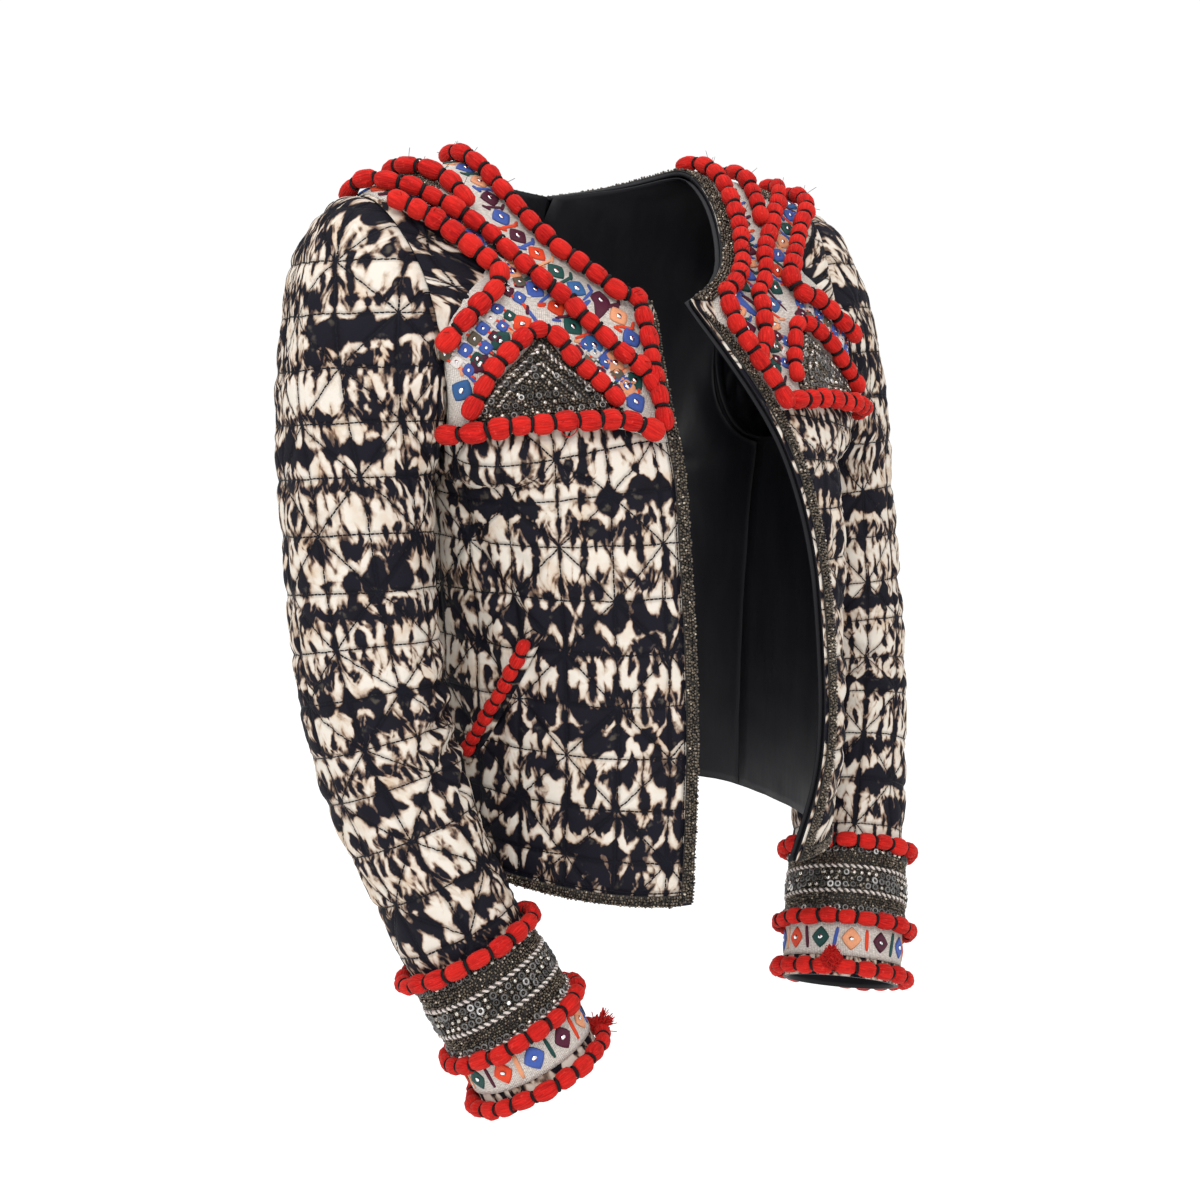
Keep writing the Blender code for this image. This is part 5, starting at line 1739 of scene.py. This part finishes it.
def yokes(looks):
    """The white yokes and the bands of coloured diamonds and squares between the wool rows."""
    for index, side in enumerate(SIDES):
        yoke_ground(side, looks["yoke"])
        for name, line in EMBROIDERY[side].items():
            yoke_band(side, name, line, looks, 251 + index)
        for k, line in enumerate(SQUARES[side]):
            for column, beside_by in enumerate((-0.0094, 0.0001, 0.0096) if k == 0 else (-0.0045, 0.0045)):
                middle, ahead, beside, away = band_places(side, line, 0.0100, YOKE_OUT, 0.5, beside_by)
                bars = band_places(side, line, 0.0050, YOKE_OUT, 0.5, beside_by + 0.0047)
                stitched(
                    f"yoke_squares_{k}{column}_{side}", (middle, unit(ahead + beside), unit(beside - ahead), away),
                    [SQUARE_ORDER[column][i % 4] for i in range(len(middle))], (0.0052, 0.0052),
                    bars, [("orange", "white")[i % 2] for i in range(len(bars[0]))], (0.0009, 0.0026), looks,
                    261 + 3 * k + column,
                    mould=moulded(side, YOKE_OUT),
                )


def inserts(looks):
    """The triangles of beads, cord, rings and stones under the peaks, and the dark strips on the shoulders."""
    for index, side in enumerate(SIDES):
        out = YOKE_OUT + 0.0005
        foot_left, top, foot_right = (np.array(corner) for corner in INSERT[side])
        up, over = np.linspace(0, 1, 14)[None, :, None], np.linspace(0, 1, 20)[:, None, None]
        peak = top + (foot_right - foot_left) * 0.02
        places = foot_left + (top - foot_left) * up + ((foot_right - foot_left) * (1 - up) + (peak - top) * up) * over
        ground = patch(side, places[..., 0], places[..., 1], out)
        netting(f"insert_netting_{side}", ground, looks["ground"], trunk_outward)
        corners = [foot_left, top, foot_right, foot_left]
        centre = (foot_left + foot_right + top) / 3

        def loop(share, steps, turns, rise, closing=0):
            """Points along sides of the triangle, shrunk to a share of it."""
            ends = [centre + (corner - centre) * share for corner in corners[: turns + 1]]
            spots = np.concatenate([np.linspace(a, b, steps)[:-1] for a, b in zip(ends, ends[1:])])
            spots = np.concatenate([spots, spots[:closing]])
            return body_line(side, spots[:, 0], spots[:, 1], out + rise)

        lines = [loop(share, 24, 3, 0.0002, 1) for share in np.linspace(0.975, 0.06, 12)]
        nodes = [f"bead_insert_{side}"]
        bead_rows(f"insert_beads_{side}", lines, looks["beads"], nodes, 271 + index, 0.00108, 0.00205)
        cords = [twisted(*loop(share, 30, 2, 0.0012), 0.0006, 0.0040) for share in (0.83, 0.52)]
        two_yarns(f"insert_cord_{{}}_{side}", cords, (0.0007, 0.0007), looks)
        rings = ((0.78, 0.0078), (0.52, 0.0066), (0.28, 0.0060))
        gems = [evenly(*loop(share, 30, 3, 0.0012), pitch) for share, pitch in rings]
        trinkets(f"insert_{side}", gems, looks, 281 + index, 0.0027, 0.4)
        run = np.linspace(0.494, 0.540, 20)
        lines = [body_line(side, wide, run, YOKE_OUT + 0.0002) for wide in np.linspace(0.50, 0.66, 9)]
        bead_rows(f"shoulder_beads_{side}", lines, looks["beads"], [], 291 + index, 0.00095, 0.0021)


def pockets(look):
    """The slanted pocket welts."""
    for side in SIDES:
        line = pocket_line(-0.02, 1.02, 40)
        middle = body_point(side, line[:, 0], line[:, 1])
        away = body_normal(side, line[:, 0], line[:, 1])
        beside = unit(np.cross(np.gradient(middle, axis=0), away))
        widths = np.linspace(-WELT_WIDTH / 2, WELT_WIDTH / 2, 7)
        places = np.array([np.stack(settle(side, middle + beside * wide, *line.T), -1) for wide in widths])
        rise = 0.0030 - 0.0026 * np.abs(np.linspace(-1, 1, 7)) ** 4
        points = patch(side, places[..., 0], places[..., 1], rise[:, None] + 0 * places[..., 0])
        flat = np.stack([widths[:, None] / QUILT + 0.4 + 0 * points[..., 0], places[..., 1] / QUILT + 0.3], -1)
        made = cloth(
            f"welt_{side}", [(points, flat)], look, 0.0016, trunk_outward, [f"pocket_welt_{side}"],
        )


def frayed(look):
    """Loose wool: a hanging knot on the left cuff, a brush on the right one and a loop on the base row."""
    draw = np.random.default_rng(305)
    paths = []
    t = np.linspace(0, 1, 9)[:, None]
    for side, (angle, metres) in FRAYED.items():
        down = float(down_at(metres))
        away = sleeve_normal(side, np.array([angle]), down)[0]
        point = sleeve_point(side, np.array([angle]), down)[0] + away * (0.0100 if side == "left" else 0.0040)
        for _ in range(190 if side == "left" else 150):
            if side == "left":
                first, second = unit(draw.normal(0, 1, 3)), unit(draw.normal(0, 1, 3))
                turn = draw.uniform(1.6, 4.2) * t
                coil = (first * np.cos(turn) + second * np.sin(turn)) * (0.0062, 0.0062, 0.0085)
                paths.append(point + coil * draw.uniform(0.85, 1.1))
            else:
                way = unit(away * 0.9 + np.array((0.25, 0.0, 0.8)) + draw.normal(0, 0.45, 3))
                bend = draw.normal(0, 0.3, 3)
                start = point + draw.normal(0, 0.0018, 3)
                paths.append(start + way * t * draw.uniform(0.006, 0.013) + bend * t**2 * 0.004)
    centre, away = body_point("right", *LOOSE_LOOP), body_normal("right", *LOOSE_LOOP)
    up = np.array((0, 0, 1.0))
    turn = np.linspace(-0.6, 3.75, 22)[:, None]
    drop = (up * 0.0062 + away * 0.004) * np.sin(turn)
    paths.append(centre + away * 0.013 + unit(np.cross(away, up)) * np.cos(turn) * 0.0058 - drop)
    strands("frayed_wool", paths, 0.00034, look)


def loose_threads(look):
    """Short black thread ends that stand out from the ties of the wool rows."""
    draw = np.random.default_rng(301)
    paths = []
    for side in SIDES:
        rows = {"neck": neck_row_places(side), **WOOL_ROWS[side]}
        for name, number in (("neck", 34), ("outer", 7), ("middle", 9), ("short", 5)):
            spots = row_curve(side, rows[name])(draw.uniform(0.05, 1.0, number))
            away = body_normal(side, spots[:, 0], spots[:, 1])
            start = body_point(side, spots[:, 0], spots[:, 1]) + away * 0.0125
            for point, up in zip(start, away):
                way = unit(up + draw.normal(0, 0.75, 3))
                bend = draw.normal(0, 0.5, 3)
                reach = draw.uniform(0.004, 0.011)
                t = np.linspace(0, 1, 7)[:, None]
                paths.append(point - up * 0.003 + way * t * reach + bend * t**2 * reach * 0.5)
    strands("loose_threads", paths, 0.00018, look)


# SCENE
def studio():
    bpy.context.scene.view_settings.view_transform = "Standard"
    bpy.context.scene.view_settings.exposure = 0.38
    # painted light: the floor glows faintly, so that it reads evenly white
    look = Look("studio_floor", Roughness=0.9, Emission_Color=(1.0, 1.0, 1.0, 1.0), Emission_Strength=0.10)
    fine = look.noise(look.where(), 3.0, 2.0)
    look.set("Base Color", look.mix(fine, (0.955, 0.955, 0.955), (0.97, 0.97, 0.97)))
    work = bmesh.new()
    bmesh.ops.create_circle(work, cap_ends=True, segments=96, radius=9.0, matrix=Matrix.Translation((0, 0, -1.36)))
    mesh = bpy.data.meshes.new("studio_floor")
    work.to_mesh(mesh)
    work.free()
    floor = bpy.data.objects.new("studio_floor", mesh)
    bpy.context.scene.collection.objects.link(floor)
    mesh.materials.append(look.material)
    world = bpy.data.worlds.new("soft_room")
    world.use_nodes = True
    world.node_tree.nodes["Background"].inputs[0].default_value = (1.0, 1.0, 1.0, 1.0)
    world.node_tree.nodes["Background"].inputs[1].default_value = 0.78
    bpy.context.scene.world = world
    for name, place, aim, size, power in (
        ("key", (-1.5, -1.7, 1.5), (0, -0.05, -0.3), 0.9, 27.0),
        ("top", (-0.2, 0.2, 2.2), (0, 0, -0.3), 1.4, 14.0),
    ):
        lamp = bpy.data.lights.new(name, "AREA")
        lamp.size = size
        lamp.energy = power
        holder = bpy.data.objects.new(name, lamp)
        bpy.context.scene.collection.objects.link(holder)
        holder.location = place
        away = np.array(place) - np.array(aim)
        holder.rotation_euler = (math.acos(away[2] / np.linalg.norm(away)), 0, math.atan2(away[0], -away[1]))
    lens = bpy.data.cameras.new("camera")
    lens.lens = 53.8
    lens.sensor_width = 36.0
    lens.clip_end = 50
    camera = bpy.data.objects.new("camera", lens)
    bpy.context.scene.collection.objects.link(camera)
    turn, far, height, pitch = math.radians(36.1), 1.345, -0.0956, math.radians(10.0)
    camera.location = (-far * math.sin(turn), -far * math.cos(turn), height)
    camera.rotation_euler = (math.pi / 2 - pitch, 0, -turn)
    bpy.context.scene.camera = camera


studio()
LOOKS = {
    "front_right": quilted_cotton("quilted_cotton_front_right", 5.0, 3.1, edge_line=(-11.5, -20.5)),
    "front_left": quilted_cotton("quilted_cotton_front_left", 26.0, 7.7),
    "back": quilted_cotton("quilted_cotton_back", 11.0, 12.4),
    "sleeve_right": quilted_cotton("quilted_cotton_sleeve_right", 0.0, 17.9),
    "sleeve_left": quilted_cotton("quilted_cotton_sleeve_left", 20.0, 21.3, stain=STAIN),
}
LINING = black_lining()
shells(LOOKS, LINING)
sleeves(LOOKS, LINING)
linings(LINING)
THREAD = mottled(
    "black_thread", 900.0, (0.003, 0.003, 0.004), (0.011, 0.010, 0.012), (0.2, 0.55), (0.5, 0.0003),
    Specular_IOR_Level=0.12,
)
WOOL = red_wool()
wool(WOOL, THREAD)
TRIM = {
    "beads": bead_glass(
        "seed_bead_glass", (0.012, 0.009, 0.007), (0.150, 0.120, 0.088), (0.62, 0.54, 0.43), 0.20, 0.60,
    ),
    "rings": bead_glass("ring_metal", (0.045, 0.043, 0.042), (0.17, 0.165, 0.16), (0.70, 0.69, 0.67), 0.24, 0.70),
    "stones": bead_glass("cut_stones", (0.18, 0.16, 0.13), (0.62, 0.58, 0.52), (0.95, 0.93, 0.90), 0.05, 0.85),
    "ground": mottled(
        "band_ground", 700.0, (0.005, 0.0045, 0.004), (0.022, 0.018, 0.015), (0.3, 0.5), (0.8, 0.0008),
    ),
    "yoke": yoke_cloth(),
    "silk": silk_thread(),
    "mirror": mottled(
        "mirror_glass", 350.0, (0.86, 0.87, 0.88), (0.50, 0.50, 0.52), (0.2, 0.04), span=(0.4, 0.8), Metallic=1.0,
    ),
    "cord_light": mottled(
        "cord_light", 1100.0, (0.46, 0.39, 0.35), (0.74, 0.67, 0.62), (0.2, 0.6), (0.5, 0.0003), (0.3, 0.7),
        Sheen_Weight=0.2,
    ),
    "cord_dark": mottled(
        "cord_dark", 1100.0, (0.020, 0.017, 0.014), (0.060, 0.050, 0.040), (0.2, 0.6), (0.5, 0.0003), (0.3, 0.7),
        Sheen_Weight=0.2,
    ),
}
edge_bands(TRIM["beads"], TRIM["ground"])
cuffs(TRIM)
yokes(TRIM)
inserts(TRIM)
pockets(LOOKS["front_right"])
loose_threads(THREAD)
frayed(WOOL)
